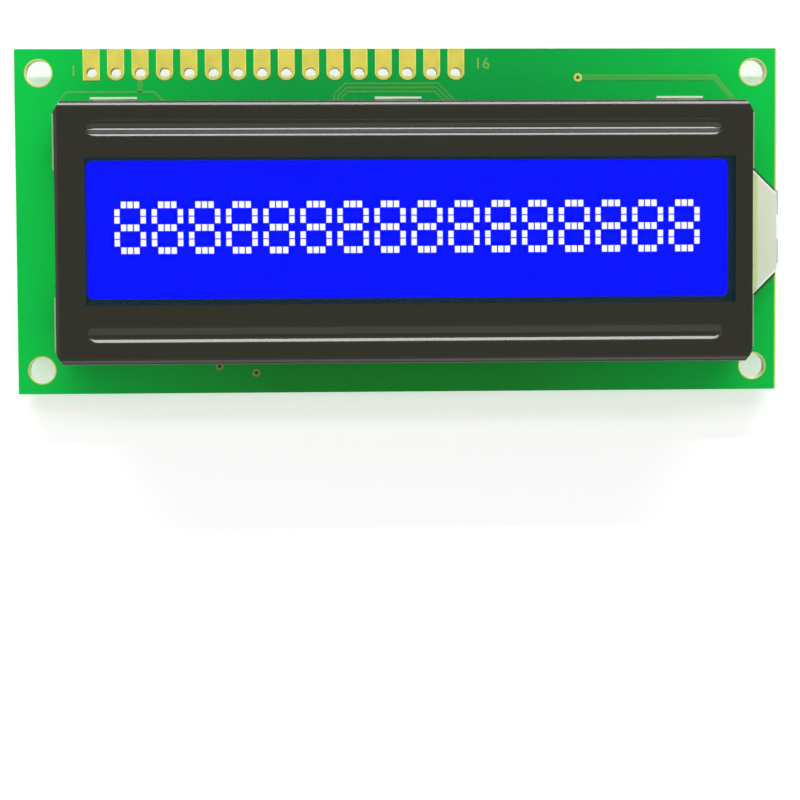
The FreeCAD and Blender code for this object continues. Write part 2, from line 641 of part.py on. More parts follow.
def make_lamp_housing():
    """A white moulding: a tall part that fills the opening in the bezel wall, and a low flange
    that tapers to the board edge. Its hollow underside holds the lamps, their board and the leads.
    """
    body = new_body("lamp_housing", ZERO, HOUSING_Y, FRONT)
    half_root = s["side_gap"] / 2 - s["housing_gap"]
    half_end = s["housing_end_width"] / 2
    start = HOUSING_START
    tall_end = BEZEL_LENGTH / 2 + s["housing_reach"]
    shoulder = tall_end + s["housing_shoulder"]
    wall = s["housing_wall"]
    outline = new_sketch(body, "flange_outline")
    draw_polygon(outline, [(start, -half_root), (shoulder, -half_root), (BOARD_END, -half_end),
                           (BOARD_END, half_end), (shoulder, half_root), (start, half_root)])
    extrude(body, "Pad", "flange", outline, s["flange_height"])
    tall = new_sketch(body, "tall_outline")
    draw_rectangle(tall, tall_end - start, half_root * 2, (tall_end + start) / 2)
    block = extrude(body, "Pad", "tall_part", tall, s["housing_height"])
    high = s["housing_height"].number
    round_edges(body, "tall_rim", block, s["rim_radius"],
                lambda box: box.ZMin > high - SMALL and box.XMax > start.number + SMALL)
    board_room = new_sketch(body, "lamp_board_recess_sketch")
    draw_rectangle(board_room, BOARD_END - wall - start, LAMP_ROOM, (BOARD_END - wall + start) / 2)
    extrude(body, "Pocket", "lamp_board_recess", board_room, s["lead"] + s["lamp_board"], reverse=True)
    lamp_room = new_sketch(body, "lamp_recess_sketch")
    draw_rectangle(lamp_room, s["lamp_depth"], LAMP_ROOM, start + s["lamp_depth"] / 2)
    extrude(body, "Pocket", "lamp_recess", lamp_room, s["lead"] + s["lamp_board"] + s["lamp_height"],
            reverse=True)
    channels = new_sketch(body, "lead_channel_sketch")
    for _, lead_y in LEAD_PLACES:
        draw_rectangle(channels, s["lead_inside"], s["lead_width"], BOARD_END - s["lead_inside"] / 2,
                       lead_y - HOUSING_Y)
    extrude(body, "Pocket", "lead_channels", channels, s["lead"], reverse=True)
    keep(body)


def make_lamps():
    """Lamps on a small board that lies on the leads inside the housing, facing the guide."""
    board_length = BOARD_END - s["housing_wall"] - HOUSING_START
    board_z = FRONT + s["lead"]
    keep(slab("lamp_board", board_length, LAMP_ROOM, s["lamp_board"],
              HOUSING_START + board_length / 2, HOUSING_Y, board_z))
    body = new_body("backlight_lamps", HOUSING_START + s["lamp_depth"] / 2, HOUSING_Y,
                    board_z + s["lamp_board"])
    lamp = new_sketch(body, "lamp_sketch", y=-LAMP_PITCH * (s["lamp_count"] - 1) / 2)
    draw_rectangle(lamp, s["lamp_depth"], LAMP_PITCH - s["lamp_gap"])
    first = extrude(body, "Pad", "lamp", lamp, s["lamp_height"])
    repeat_along(body, "lamp_row", [first], "Y_Axis", LAMP_PITCH, s["lamp_count"])
    keep(body)


def make_lead(name, y):
    """A flat strip that lies on the board and folds down over its edge."""
    body = new_body(name, BOARD_END, y)
    profile = new_sketch(body, f"{name}_profile", "XZ_Plane")
    high = FRONT + s["lead"]
    draw_polygon(profile, [(-s["lead_inside"], FRONT), (ZERO, FRONT), (ZERO, -s["lead_reach"]),
                           (s["lead"], -s["lead_reach"]), (s["lead"], high), (-s["lead_inside"], high)])
    strip = extrude(body, "Pad", f"{name}_strip", profile, s["lead_width"], middle=True)
    top = high.number
    reach = s["lead"].number
    round_edges(body, f"{name}_fold", strip, s["lead"],
                lambda box: box.ZMin > top - SMALL and box.XMin > reach - SMALL)
    return body


def make_lead_joint(name, y):
    """Solder that climbs in a hollow curve from its thin toe to the lead at the board edge."""
    body = new_body(name, BOARD_END, y, -s["copper"])
    profile = new_sketch(body, f"{name}_profile", "XZ_Plane")
    heel = s["lead_reach"] - s["copper"]
    length = s["joint_length"]
    toe = s["joint_toe"]
    low = (heel + toe) * 0.32
    curve = Part.Arc(flat(-length, -toe), flat(-length * 0.45, -low), flat(ZERO, -heel))
    arc = sketch_arc(profile, curve, (-length, -toe), (ZERO, -heel), length * 1.6)
    lines = [((ZERO, -heel), (ZERO, ZERO)),
             ((ZERO, ZERO), (-length, ZERO)),
             ((-length, ZERO), (-length, -toe))]
    close_outline(profile, arc, lines)
    extrude(body, "Pad", f"{name}_fillet", profile, s["joint_width"], middle=True)
    return body


def sketch_arc(sketch, curve, start, end, radius):
    """An arc given by its two ends and its radius; hands back its index and its end numbers."""
    arc = sketch.addGeometry(curve)
    first, second = (sketch.getPoint(arc, 1), sketch.getPoint(arc, 2))
    swapped = (first - flat(*start)).Length > (second - flat(*start)).Length
    start_end, far_end = (2, 1) if swapped else (1, 2)
    pin_point(sketch, arc, start_end, *start)
    pin_point(sketch, arc, far_end, *end)
    dimension(sketch, "Radius", arc, radius)
    return arc, start_end, far_end


def close_outline(sketch, arc, lines):
    """Straight lines from the arc's far end back to its start."""
    curve, start_end, far_end = arc
    previous, previous_end = curve, far_end
    for here, there in lines:
        line = sketch.addGeometry(Part.LineSegment(flat(*here), flat(*there)))
        sketch.addConstraint(Sketcher.Constraint("Coincident", previous, previous_end, line, 1))
        if there is not lines[-1][1]:
            pin_point(sketch, line, 2, *there)
        previous, previous_end = line, 2
    sketch.addConstraint(Sketcher.Constraint("Coincident", previous, previous_end, curve, start_end))


def make_leads():
    keep(group("backlight_leads", [make_lead(f"{name}_lead", y) for name, y in LEAD_PLACES]))
    keep(group("backlight_solder", [make_lead_joint(f"{name}_joint", y) for name, y in LEAD_PLACES]))
    keep(group("backlight_pads", [slab(f"{name}_lead_pad", s["joint_length"], s["joint_width"], s["copper"],
                                       BOARD_END - s["joint_length"] / 2, y, -s["copper"])
                                  for name, y in LEAD_PLACES]))


# Controller under its epoxy drop, and the label

def make_controller():
    die = keep(slab("controller_die", s["die_length"], s["die_width"], s["die_height"],
                    s["blob_x"], BLOB_Y, -s["die_height"]))
    drop = document.addObject("Part::Ellipsoid", "epoxy_drop")
    bind(drop, "Radius1", s["blob_height"])
    bind(drop, "Radius2", BLOB_RADIUS)
    bind(drop, "Radius3", BLOB_RADIUS)
    drop.Angle1 = -90
    drop.Angle2 = 0
    place(drop, s["blob_x"], BLOB_Y)
    keep(boolean("cob_globe_top", "Cut", drop, die))


def make_label():
    middle = BEZEL_Y + PAD_EDGE - s["label_from_pads"]
    body = new_body("rear_label", s["label_x"], middle, -s["label_thickness"])
    body.setExpression("Placement.Rotation.Angle", s["label_turn"].formula)
    outline = new_sketch(body, "label_outline")
    draw_rectangle(outline, s["label_length"], s["label_width"])
    paper = extrude(body, "Pad", "label_paper", outline, s["label_thickness"])
    round_edges(body, "label_corners", paper, s["label_radius"],
                lambda box: box.ZLength > s["label_thickness"].number - SMALL)
    keep(body)


# Chip resistors with their copper and solder

def make_chip_caps(name, length, width, height, x, y):
    """The two metal ends of a chip, each a clip over the end of the ceramic."""
    body = new_body(name, x, y, -s["copper"])
    half = length / 2
    wall = s["cap_wall"]
    inner = half - s["cap_length"]
    clip = new_sketch(body, f"{name}_clip_sketch", "YZ_Plane")
    draw_polygon(clip, [(inner, ZERO), (half, ZERO), (half, -height), (inner, -height),
                        (inner, wall - height), (half - wall, wall - height), (half - wall, -wall),
                        (inner, -wall)])
    one_end = extrude(body, "Pad", f"{name}_clip", clip, width, middle=True)
    mirror_across(body, f"{name}_pair", [one_end], "XZ_Plane")
    return body


def make_chip_solder(name, length, width, height, x, y):
    """A hollow solder fillet at each end, from the copper up the metal end."""
    body = new_body(name, x, y, -s["copper"])
    foot = length / 2 + s["chip_pad_reach"]
    start = length / 2
    climb = height * s["solder_share"]
    profile = new_sketch(body, f"{name}_profile", "YZ_Plane")
    middle = (start + s["chip_pad_reach"] * 0.4, -climb * 0.34)
    curve = Part.Arc(flat(foot, ZERO), flat(*middle), flat(start, -climb))
    arc = sketch_arc(profile, curve, (foot, ZERO), (start, -climb), s["chip_pad_reach"] * 1.3)
    close_outline(profile, arc, [((start, -climb), (start, ZERO)), ((start, ZERO), (foot, ZERO))])
    fillet = extrude(body, "Pad", f"{name}_fillet", profile, width, middle=True)
    mirror_across(body, f"{name}_pair", [fillet], "XZ_Plane")
    return body


def make_chip(name, length, width, height, x, y):
    """One chip resistor that lies along Y on the back of the board."""
    wall = s["cap_wall"]
    keep(slab(f"{name}_body", width, length - wall * 2, height - wall * 2, x, y, wall - height - s["copper"]))
    keep(make_chip_caps(f"{name}_end_caps", length, width, height, x, y))
    solder = make_chip_solder(f"{name}_solder", length, width, height, x, y)
    pad_length = s["chip_pad_reach"] + s["chip_pad_under"]
    pad_y = (length + s["chip_pad_reach"] - s["chip_pad_under"]) / 2
    pads = [slab(f"{name}_pad_{end}", width, pad_length, s["copper"], x, y + pad_y * side, -s["copper"])
            for side, end in ((-1, "low"), (1, "high"))]
    return solder, pads


def make_chips():
    small = (s["chip_length"], s["chip_width"], s["chip_height"])
    large = (s["large_chip_length"], s["large_chip_width"], s["chip_height"])
    middle = s["array_from_side"] - BOARD_END
    columns = (middle - s["array_pitch"], middle, middle + s["array_pitch"])
    large_chip_y = HOUSING_Y + s["large_chip_from_housing"]
    link_x = BOARD_END - s["link_from_side"]
    link_y = BOARD_TOP - s["link_from_top"]
    chips = [(f"resistor_{n}", *small, columns[n - 1], s["array_upper_y"]) for n in (1, 2, 3)]
    chips += [(f"resistor_{n + 3}", *small, columns[n - 1], s["array_lower_y"]) for n in (1, 2, 3)]
    chips.append(("resistor_7", *large, BOARD_END - s["large_chip_from_side"], large_chip_y))
    chips.append(("link_1", *small, link_x, link_y))
    chips.append(("link_2", *small, link_x - s["link_pitch"], link_y))
    solders = []
    pads = []
    for chip in chips:
        solder, chip_pads = make_chip(*chip)
        solders.append(solder)
        pads += chip_pads
    for side, end in ((-1, "low"), (1, "high")):
        pads.append(slab(f"spare_pad_{end}", s["spare_pad_width"], s["spare_pad_length"], s["copper"],
                         BOARD_END - s["spare_from_side"], large_chip_y + s["spare_pitch"] / 2 * side,
                         -s["copper"]))
    keep(group("chip_solder", solders))
    keep(group("chip_pads", pads))


def check_document():
    """Stop on any object that failed and on any piece whose shape is not sound."""
    for thing in document.Objects:
        bad = [word for word in thing.State if word in ("Invalid", "Error")]
        if bad:
            raise RuntimeError(f"{thing.Name}: {bad}")
    for thing in nodes:
        shape = thing.Shape
        if shape.isNull() or not shape.isValid() or not shape.Solids:
            raise RuntimeError(f"{thing.Label}: shape is not a valid solid")


def write_steps():
    os.makedirs("parts", exist_ok=True)
    for thing in nodes:
        thing.Shape.exportStep(f"parts/{thing.Label}.step")


make_board()
make_header_pads()
make_ground_pads()
make_bezel()
make_cell()
make_zebra_strips()
make_light_guide()
make_lamp_housing()
make_lamps()
make_leads()
make_controller()
make_label()
make_chips()
document.recompute()
check_document()
write_steps()
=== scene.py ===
import math

import bpy
import numpy as np
from mathutils import Matrix


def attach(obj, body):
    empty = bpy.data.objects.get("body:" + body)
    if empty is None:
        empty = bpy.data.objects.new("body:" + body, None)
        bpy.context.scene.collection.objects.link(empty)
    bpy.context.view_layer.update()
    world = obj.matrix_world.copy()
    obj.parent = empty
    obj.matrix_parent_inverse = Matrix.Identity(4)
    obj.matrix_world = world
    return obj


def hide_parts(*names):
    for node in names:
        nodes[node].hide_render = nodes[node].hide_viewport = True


# A sixteen-character display module. Pieces are worked out in millimetres in the frame of the
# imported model: +X along the display, +Y to the connector holes, +Z out of the display face.
# Pieces on the back of the board are drawn as a reader sees the back, then turned half a turn
# about the Y axis.

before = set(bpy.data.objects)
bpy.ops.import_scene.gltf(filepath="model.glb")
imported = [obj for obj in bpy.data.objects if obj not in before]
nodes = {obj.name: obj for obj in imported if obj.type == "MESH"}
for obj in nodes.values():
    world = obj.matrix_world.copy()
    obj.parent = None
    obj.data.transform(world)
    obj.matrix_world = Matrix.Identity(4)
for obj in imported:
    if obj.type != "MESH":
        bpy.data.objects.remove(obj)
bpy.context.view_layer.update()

MM = 0.001
BOARD_LENGTH, BOARD_WIDTH, BOARD_THICK = 80.0, 36.0, 1.6
HOLE_X, HOLE_Y, HOLE_RADIUS = 37.5, 15.5, 1.35
PIN_START, PIN_PITCH, PIN_COUNT, PIN_Y = -32.0, 2.54, 16, 15.5
BEZEL_LENGTH, BEZEL_WIDTH, BEZEL_X, BEZEL_Y = 71.6, 26.5, 0.42, -1.17
BEZEL_FACE, SHEET, FOLD = 9.6, 0.45, 0.6
WINDOW_LEFT, WINDOW_RIGHT, WINDOW_LOW, WINDOW_HIGH = -32.1, 34.22, -8.6, 6.34
TAB_PITCH, TAB_WIDTH, TAB_REACH, TAB_LEAN = 29.75, 5.1, 1.7, 0.6
SLOT_LENGTH, SLOT_HIGH, SLOT_LOW = 5.7, (12.01, 1.55), (-14.25, 1.4)
CELL_Z = 7.66
BLOB_X, BLOB_Y, BLOB_RADIUS, BLOB_HEIGHT = 2.54, 0.54, 7.2, 1.45
# Radii of plated holes and their rims, and how far copper and print stand up from the board
PAD_HOLE, PAD_RAISE = 0.56, 0.05
VIA_HOLE, VIA_RIM, VIA_RAISE = 0.19, 0.43, 0.035
TRACK, TRACK_RAISE, TRACK_SLOPE, LANE = 0.15, 0.026, 0.035, 0.375
PRINT_RAISE, PRINT_SLOPE, MARK_RAISE = 0.03, 0.01, 0.02
WELD = ("WELD", {"merge_threshold": 0.004 * MM})


# Colours as they are read off a screen, turned into light values

def screen(red, green, blue):
    """Each channel: (c + 0.055) / 1.055 to the power 2.4, or c / 12.92 near black."""
    values = []
    for level in (red, green, blue):
        c = level / 255
        values.append(c / 12.92 if c <= 0.04045 else ((c + 0.055) / 1.055) ** 2.4)
    return (*values, 1.0)


# Meshes

def turn_to_back(points):
    """Half a turn about Y: (u, v, h) on the drawn back becomes (-u, v, -h) in the frame."""
    return np.asarray(points, float) * (-1.0, 1.0, -1.0)


def lift_to_front(points):
    """Height above the board's front face becomes height in the frame."""
    return np.asarray(points, float) + (0.0, 0.0, BOARD_THICK)


def grid_faces(rows, columns, close_rows=False, close_columns=False):
    """Squares between neighbours of a grid whose point (r, c) has the number r * columns + c."""
    r = np.arange(rows if close_rows else rows - 1)[:, None]
    c = np.arange(columns if close_columns else columns - 1)[None, :]
    r2, c2 = (r + 1) % rows, (c + 1) % columns
    corners = (r * columns + c, r * columns + c2, r2 * columns + c2, r2 * columns + c)
    return np.stack([np.broadcast_to(k, (r.size, c.size)) for k in corners], -1).reshape(-1, 4)


def tube_faces(rows, count, bottom=False, top=False):
    """Squares between closed lines of count points; the first and the last line can be filled."""
    faces = grid_faces(rows, count, close_columns=True).tolist()
    if bottom:
        faces.append(list(range(count))[::-1])
    if top:
        faces.append(list(range(count * (rows - 1), count * rows)))
    return faces


def at_height(line, z):
    return np.column_stack([line, np.full(len(line), z)])


def loft(lines, heights, bottom=False, top=False):
    """Closed flat lines at their heights, joined by walls."""
    points = np.concatenate([at_height(line, z) for line, z in zip(lines, heights)])
    return points, tube_faces(len(lines), len(lines[0]), bottom, top)


def build_mesh(name, points, faces):
    mesh = bpy.data.meshes.new(name)
    mesh.from_pydata((np.asarray(points, float) * MM).tolist(), [], [list(map(int, f)) for f in faces])
    mesh.validate()
    mesh.update()
    return mesh


def new_object(name, data):
    """An object of the scene that holds the data."""
    thing = bpy.data.objects.new(name, data)
    bpy.context.scene.collection.objects.link(thing)
    return thing


def add_piece(name, mesh, materials, slot, smooth=None, replaces=()):
    """Puts a mesh in the scene as a piece of the module; smooth is the angle that stays sharp."""
    for material in materials:
        mesh.materials.append(material)
    if smooth is not None:
        mesh.shade_smooth()
        mesh.set_sharp_from_angle(angle=math.radians(smooth))
    piece = new_object(name, mesh)
    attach(piece, "root")
    if replaces:
        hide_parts(*replaces)


def settle(name, mesh, *modifiers):
    """The mesh with its modifiers worked in; each is a kind and a dict of its settings."""
    maker = new_object(name + "_maker", mesh)
    for kind, settings in modifiers:
        modifier = maker.modifiers.new(kind.lower(), kind)
        for key, value in settings.items():
            setattr(modifier, key, value)
    bpy.context.view_layer.update()
    graph = bpy.context.evaluated_depsgraph_get()
    result = bpy.data.meshes.new_from_object(maker.evaluated_get(graph), depsgraph=graph)
    bpy.data.objects.remove(maker)
    result.name = name
    return result


class Heap:
    """Gathers the points and faces of many small shapes into one mesh."""

    def __init__(self, shapes=()):
        self.points, self.faces, self.count = [], [], 0
        for points, faces in shapes:
            self.add(points, faces)

    def add(self, points, faces):
        points = np.asarray(points, float).reshape(-1, 3)
        self.points.append(points)
        self.faces.extend([[int(k) + self.count for k in face] for face in faces])
        self.count += len(points)

    def take(self, mesh, shift=(0.0, 0.0, 0.0)):
        """Adds what a mesh holds, moved by shift, and frees the mesh."""
        spots = np.empty(len(mesh.vertices) * 3)
        mesh.vertices.foreach_get("co", spots)
        self.add(spots.reshape(-1, 3) / MM + shift, [face.vertices for face in mesh.polygons])
        bpy.data.meshes.remove(mesh)

    def mesh(self, name, place=turn_to_back):
        return build_mesh(name, place(np.concatenate(self.points)), self.faces)


def add_shapes(name, shapes, material, slot, place=turn_to_back, **more):
    """A piece made of a heap of small shapes, or of a list of them, each (points, faces)."""
    heap = shapes if isinstance(shapes, Heap) else Heap(shapes)
    add_piece(name, heap.mesh(name, place), [material], slot, **more)


def unit(rows):
    """Each row scaled to length 1."""
    return rows / np.linalg.norm(rows, axis=1)[:, None]


def mitre(before, after, least=0.0):
    """Way out to the left at a corner: along the mean normal of the two directions, divided by
    the cosine of half the turn, which counts as least when it is smaller."""
    whole = before + after
    side = unit(np.stack([-whole[:, 1], whole[:, 0]], 1))
    normal = np.stack([-after[:, 1], after[:, 0]], 1)
    return side / np.maximum(least, (side * normal).sum(1))[:, None]


def ribbon(path, width, height=TRACK_RAISE, slope=TRACK_SLOPE, closed=False):
    """A raised track: a flat top with slanted flanks, carried along a line with mitred corners.

    A point that repeats the one before it is dropped.
    """
    line = np.asarray(path, float)
    line = line[np.append(True, np.hypot(*np.diff(line, axis=0).T) > 1e-4)]
    ahead = np.roll(line, -1, 0) - line
    behind = line - np.roll(line, 1, 0)
    if not closed:
        ahead[-1], behind[0] = behind[-1], ahead[0]
    side = mitre(unit(behind), unit(ahead), 0.35)
    across = np.array([0.5, 0.5, -0.5, -0.5]) * width + np.array([slope, 0.0, 0.0, -slope])
    points = np.empty((len(line), 4, 3))
    points[:, :, :2] = line[:, None, :] + side[:, None, :] * across[None, :, None]
    points[:, :, 2] = (0.0, height, height, 0.0)
    faces = grid_faces(len(line), 4, close_rows=closed)
    if not closed:
        last = len(line) * 4
        faces = np.concatenate([faces, [[3, 2, 1, 0], [last - 4, last - 3, last - 2, last - 1]]])
    return points, faces


def beside(path, distance):
    """The line moved sideways, so that neighbours in a bundle stay parallel."""
    line = np.asarray(path, float)
    ahead = unit(np.diff(line, axis=0))
    return line + distance * mitre(np.vstack([ahead[:1], ahead]), np.vstack([ahead, ahead[-1:]]))


def arc(x, y, radius, first, last, steps, closing=True):
    """Points on a circle from one angle to another."""
    turn = np.linspace(first, last, steps, endpoint=closing)
    return np.stack([x + radius * np.cos(turn), y + radius * np.sin(turn)], 1)


def circle_line(x, y, radius, steps):
    return arc(x, y, radius, 0, 2 * math.pi, steps, closing=False)


def rectangle_line(left, low, right, high):
    return np.array([(left, low), (right, low), (right, high), (left, high)])


def ring(x, y, inner, outer, height, steps=20):
    """A flat ring with upright walls: four circles, low and high, outer and inner."""
    circles = [circle_line(x, y, radius, steps) for radius in (outer, outer, inner, inner)]
    return loft(circles, (0.0, height, height, 0.0))


def disc(x, y, radius, height, steps=24):
    """A flat round plate, open beneath."""
    return loft([circle_line(x, y, radius, steps)] * 2, (0.0, height), top=True)


def stadium(x, y, length, width, steps=12):
    """Outline of a slot with round ends, as a closed line."""
    right = arc((length - width) / 2, 0, width / 2, -math.pi / 2, math.pi / 2, steps)
    return np.concatenate([right, -right]) + (x, y)


def curve_mesh(curve):
    """The curve made a mesh."""
    maker = bpy.data.objects.new(curve.name + "_maker", curve)
    mesh = bpy.data.meshes.new_from_object(maker)
    bpy.data.objects.remove(maker)
    return mesh


def plate_mesh(name, outlines, low, high):
    """A plate with holes: closed lines filled as one flat curve, thickened and made a mesh."""
    curve = bpy.data.curves.new(name, "CURVE")
    curve.dimensions = "2D"
    curve.fill_mode = "BOTH"
    curve.extrude = (high - low) / 2 * MM
    for line in outlines:
        spline = curve.splines.new("POLY")
        spline.points.add(len(line) - 1)
        flat = np.zeros((len(line), 4))
        flat[:, :2] = np.asarray(line) * MM
        flat[:, 3] = 1.0
        spline.points.foreach_set("co", flat.ravel())
        spline.use_cyclic_u = True
    mesh = curve_mesh(curve)
    mesh.transform(Matrix.Translation((0, 0, (high + low) / 2 * MM)))
    mesh.name = name
    return mesh


def print_digits(words, height, thick, bold=0.0):
    """Digits in one heap: each word is (text, x, y), centred there, drawn flat on height 0."""
    heap = Heap()
    for text, x, y in words:
        curve = bpy.data.curves.new("digits", "FONT")
        curve.body = text
        curve.size = height * 1.4 * MM
        curve.align_x, curve.align_y = "CENTER", "CENTER"
        curve.extrude = thick / 2 * MM
        curve.offset = bold * MM
        curve.resolution_u = 3
        heap.take(curve_mesh(curve), (x, y, thick / 2))
    return heap


def rounded_line(left, low, right, high, radius, steps=6):
    """Rectangle with rounded corners, as a closed line that starts at the upper right."""
    inner = rectangle_line(left + radius, low + radius, right - radius, high - radius)
    quarter = math.pi / 2
    return np.concatenate([arc(*inner[(k + 2) % 4], radius, k * quarter, (k + 1) * quarter, steps)
                           for k in range(4)])


def flat_face(name, line, height):
    return build_mesh(name, at_height(line, height), [range(len(line))])


# Shared effects

def new_group(name, inputs, output, kind):
    """A node group with inputs as (name, kind, default) and one output; the sockets inside it."""
    group = bpy.data.node_groups.new(name, "ShaderNodeTree")
    for label, sort, value in inputs:
        socket = group.interface.new_socket(label, in_out="INPUT", socket_type="NodeSocket" + sort)
        socket.default_value = value
    group.interface.new_socket(output, in_out="OUTPUT", socket_type="NodeSocket" + kind)
    return group, group.nodes.new("NodeGroupInput").outputs, group.nodes.new("NodeGroupOutput").inputs[output]


def add_node(tree, kind, links=(), **settings):
    """A node with its settings; links are (input name or number, socket or value)."""
    node = tree.nodes.new("ShaderNode" + kind)
    for key, value in settings.items():
        setattr(node, key, value)
    for key, value in links:
        if isinstance(value, bpy.types.NodeSocket):
            tree.links.new(value, node.inputs[key])
        else:
            node.inputs[key].default_value = value
    return node


def calc(tree, operation, *values):
    """One step of arithmetic on values or on outputs of other nodes."""
    return add_node(tree, "Math", list(enumerate(values)), operation=operation).outputs[0]


def object_spot(tree):
    return add_node(tree, "TexCoord").outputs["Object"]


def noise(tree, scale, detail, *more):
    """Soft noise over the object coordinates; its strength goes from 0 to 1."""
    links = [("Vector", object_spot(tree)), ("Scale", scale), ("Detail", detail), *more]
    return add_node(tree, "TexNoise", links).outputs["Fac"]


def make_mottle():
    """Colour that grows lighter and darker by a share of itself, in soft patches."""
    group, given, result = new_group(
        "soft_mottle", [("Colour", "Color", (0.5, 0.5, 0.5, 1)), ("Scale", "Float", 200.0),
                        ("Amount", "Float", 0.1)], "Colour", "Color")
    away = calc(group, "SUBTRACT", noise(group, given["Scale"], 4.0, ("Roughness", 0.6)), 0.5)
    gain = calc(group, "MULTIPLY_ADD", calc(group, "MULTIPLY", away, given["Amount"]), 2.0, 1.0)
    tint = add_node(group, "VectorMath", [(0, given["Colour"]), (1, gain)], operation="MULTIPLY")
    group.links.new(tint.outputs[0], result)
    return group


def make_grain():
    """Height of a fine even grain with a little coarser unevenness under it."""
    group, given, result = new_group("fine_grain", [("Scale", "Float", 3000.0)], "Height", "Float")
    wide = calc(group, "MULTIPLY", given["Scale"], 0.12)
    total = calc(group, "ADD", noise(group, given["Scale"], 2.0), noise(group, wide, 2.0))
    group.links.new(total, result)
    return group


def make_specks():
    """Mask of small scattered dust specks: 1 near the middle of a few random cells."""
    group, given, result = new_group(
        "dust_specks", [("Scale", "Float", 400.0), ("Size", "Float", 0.09)], "Mask", "Float")
    cells = add_node(group, "TexVoronoi", [("Vector", object_spot(group)), ("Scale", given["Scale"])]).outputs
    near = calc(group, "LESS_THAN", cells["Distance"], given["Size"])
    pick = add_node(group, "SeparateColor", [("Color", cells["Color"])])
    few = calc(group, "GREATER_THAN", pick.outputs["Red"], 0.93)
    group.links.new(calc(group, "MULTIPLY", near, few), result)
    return group


MOTTLE, GRAIN, SPECKS = make_mottle(), make_grain(), make_specks()


class Finish:
    """A material under way: its tree, its shader, and short ways to add to them."""

    def __init__(self, name, colour, roughness=0.5, metallic=0.0, specular=0.5):
        self.material = bpy.data.materials.new(name)
        self.material.use_nodes = True
        self.tree = self.material.node_tree
        self.shader = self.tree.nodes["Principled BSDF"]
        self.set("Base Color", colour)
        self.set("Roughness", roughness)
        self.set("Metallic", metallic)
        self.set("Specular IOR Level", specular)
        self.colour = colour
        self.material.diffuse_color = colour

    def set(self, socket, value):
        self.shader.inputs[socket].default_value = value

    def node(self, kind, links=(), **settings):
        return add_node(self.tree, kind, links, **settings)

    def calc(self, operation, *values):
        return calc(self.tree, operation, *values)

    def use(self, group, **values):
        return self.node("Group", list(values.items()), node_tree=group)

    def feed(self, socket, source):
        self.tree.links.new(source, self.shader.inputs[socket])

    def spot(self):
        """Object coordinates in metres, split into X, Y and Z."""
        return self.node("SeparateXYZ", [(0, object_spot(self.tree))]).outputs

    def ramp(self, value, low, high, first=0.0, last=1.0, kind="LINEAR"):
        """Goes from first at low to last at high."""
        links = [("Value", value), ("From Min", low), ("From Max", high), ("To Min", first), ("To Max", last)]
        return self.node("MapRange", links, interpolation_type=kind).outputs[0]

    def mix(self, mask, first, second):
        blend = self.node("Mix", [(0, mask), (6, first), (7, second)], data_type="RGBA")
        return blend.outputs[2]

    def mottle(self, source, scale, amount):
        """Sends a colour, or the finish's own, to the shader through soft patches."""
        colour = self.colour if source is None else source
        patches = self.use(MOTTLE, Colour=colour, Scale=scale, Amount=amount)
        self.feed("Base Color", patches.outputs["Colour"])
        return self

    def bump(self, scale, strength, depth=0.02):
        """Fine grain as a change of the normal; depth is in millimetres."""
        grain = self.use(GRAIN, Scale=scale)
        relief = self.node("Bump", [("Height", grain.outputs["Height"]), ("Strength", strength),
                                    ("Distance", depth * MM)])
        self.feed("Normal", relief.outputs["Normal"])
        return self

    def uneven_gloss(self, low, high, scale):
        """Roughness that wanders between low and high."""
        self.feed("Roughness", self.ramp(noise(self.tree, scale, 3.0), 0.3, 0.7, low, high, "SMOOTHSTEP"))
        return self


# Finishes

def mask_with_painted_light(name, *tones):
    """Glossy green solder mask from the tones of its two ends, its upper and its lower middle;
    a fourth tone is that of the board's right edge. Each tone is red, green, blue. The lighter
    ends are a painted sheen and the darker lower middle is painted shade."""
    sides, upper, low, *edge = (screen(*tone) for tone in tones)
    finish = Finish(name, upper, roughness=0.28, specular=0.14)
    x, y, _ = finish.spot()
    # Painted shade: darker from the upper middle towards the edge away from the connector.
    inner = finish.mix(finish.ramp(y, 0.012, -0.016), upper, low)
    # Painted sheen: lighter towards both ends of the board.
    whole = finish.mix(finish.ramp(finish.calc("ABSOLUTE", x), 0.012, 0.038), inner, sides)
    if edge:
        whole = finish.mix(finish.ramp(x, 0.03984, 0.03988), whole, edge[0])
    finish.mottle(whole, 160.0, 0.06).uneven_gloss(0.24, 0.32, 60.0)
    return finish.bump(1600.0, 0.06, 0.01).material


MASK_FRONT = mask_with_painted_light("green_mask_front", (0, 194, 70), (0, 160, 64), (14, 146, 42), (190, 226, 84))
MASK_BACK = mask_with_painted_light("green_mask_back", (0, 164, 78), (0, 150, 72), (0, 142, 66))
MASK_BARE = mask_with_painted_light("green_mask_on_laminate", (0, 122, 60), (0, 108, 54), (0, 100, 48))
MASK_TRACK = mask_with_painted_light("green_mask_on_track", (60, 182, 116), (62, 172, 110), (58, 160, 100))
MASK_TRACK_FRONT = mask_with_painted_light("green_mask_on_front_track", (78, 186, 76), (66, 166, 70), (60, 140, 60))


def laminate_finish():
    """Glass laminate edge: straw yellow with green, in thin layers along Z."""
    finish = Finish("laminate_edge", screen(196, 214, 96), roughness=0.6)
    wave = finish.calc("SINE", finish.calc("MULTIPLY", finish.spot()[2], 12000.0))
    tone = finish.mix(finish.ramp(wave, -1.0, 1.0), screen(168, 200, 80), screen(214, 224, 120))
    return finish.mottle(tone, 900.0, 0.12).bump(2500.0, 0.3).material


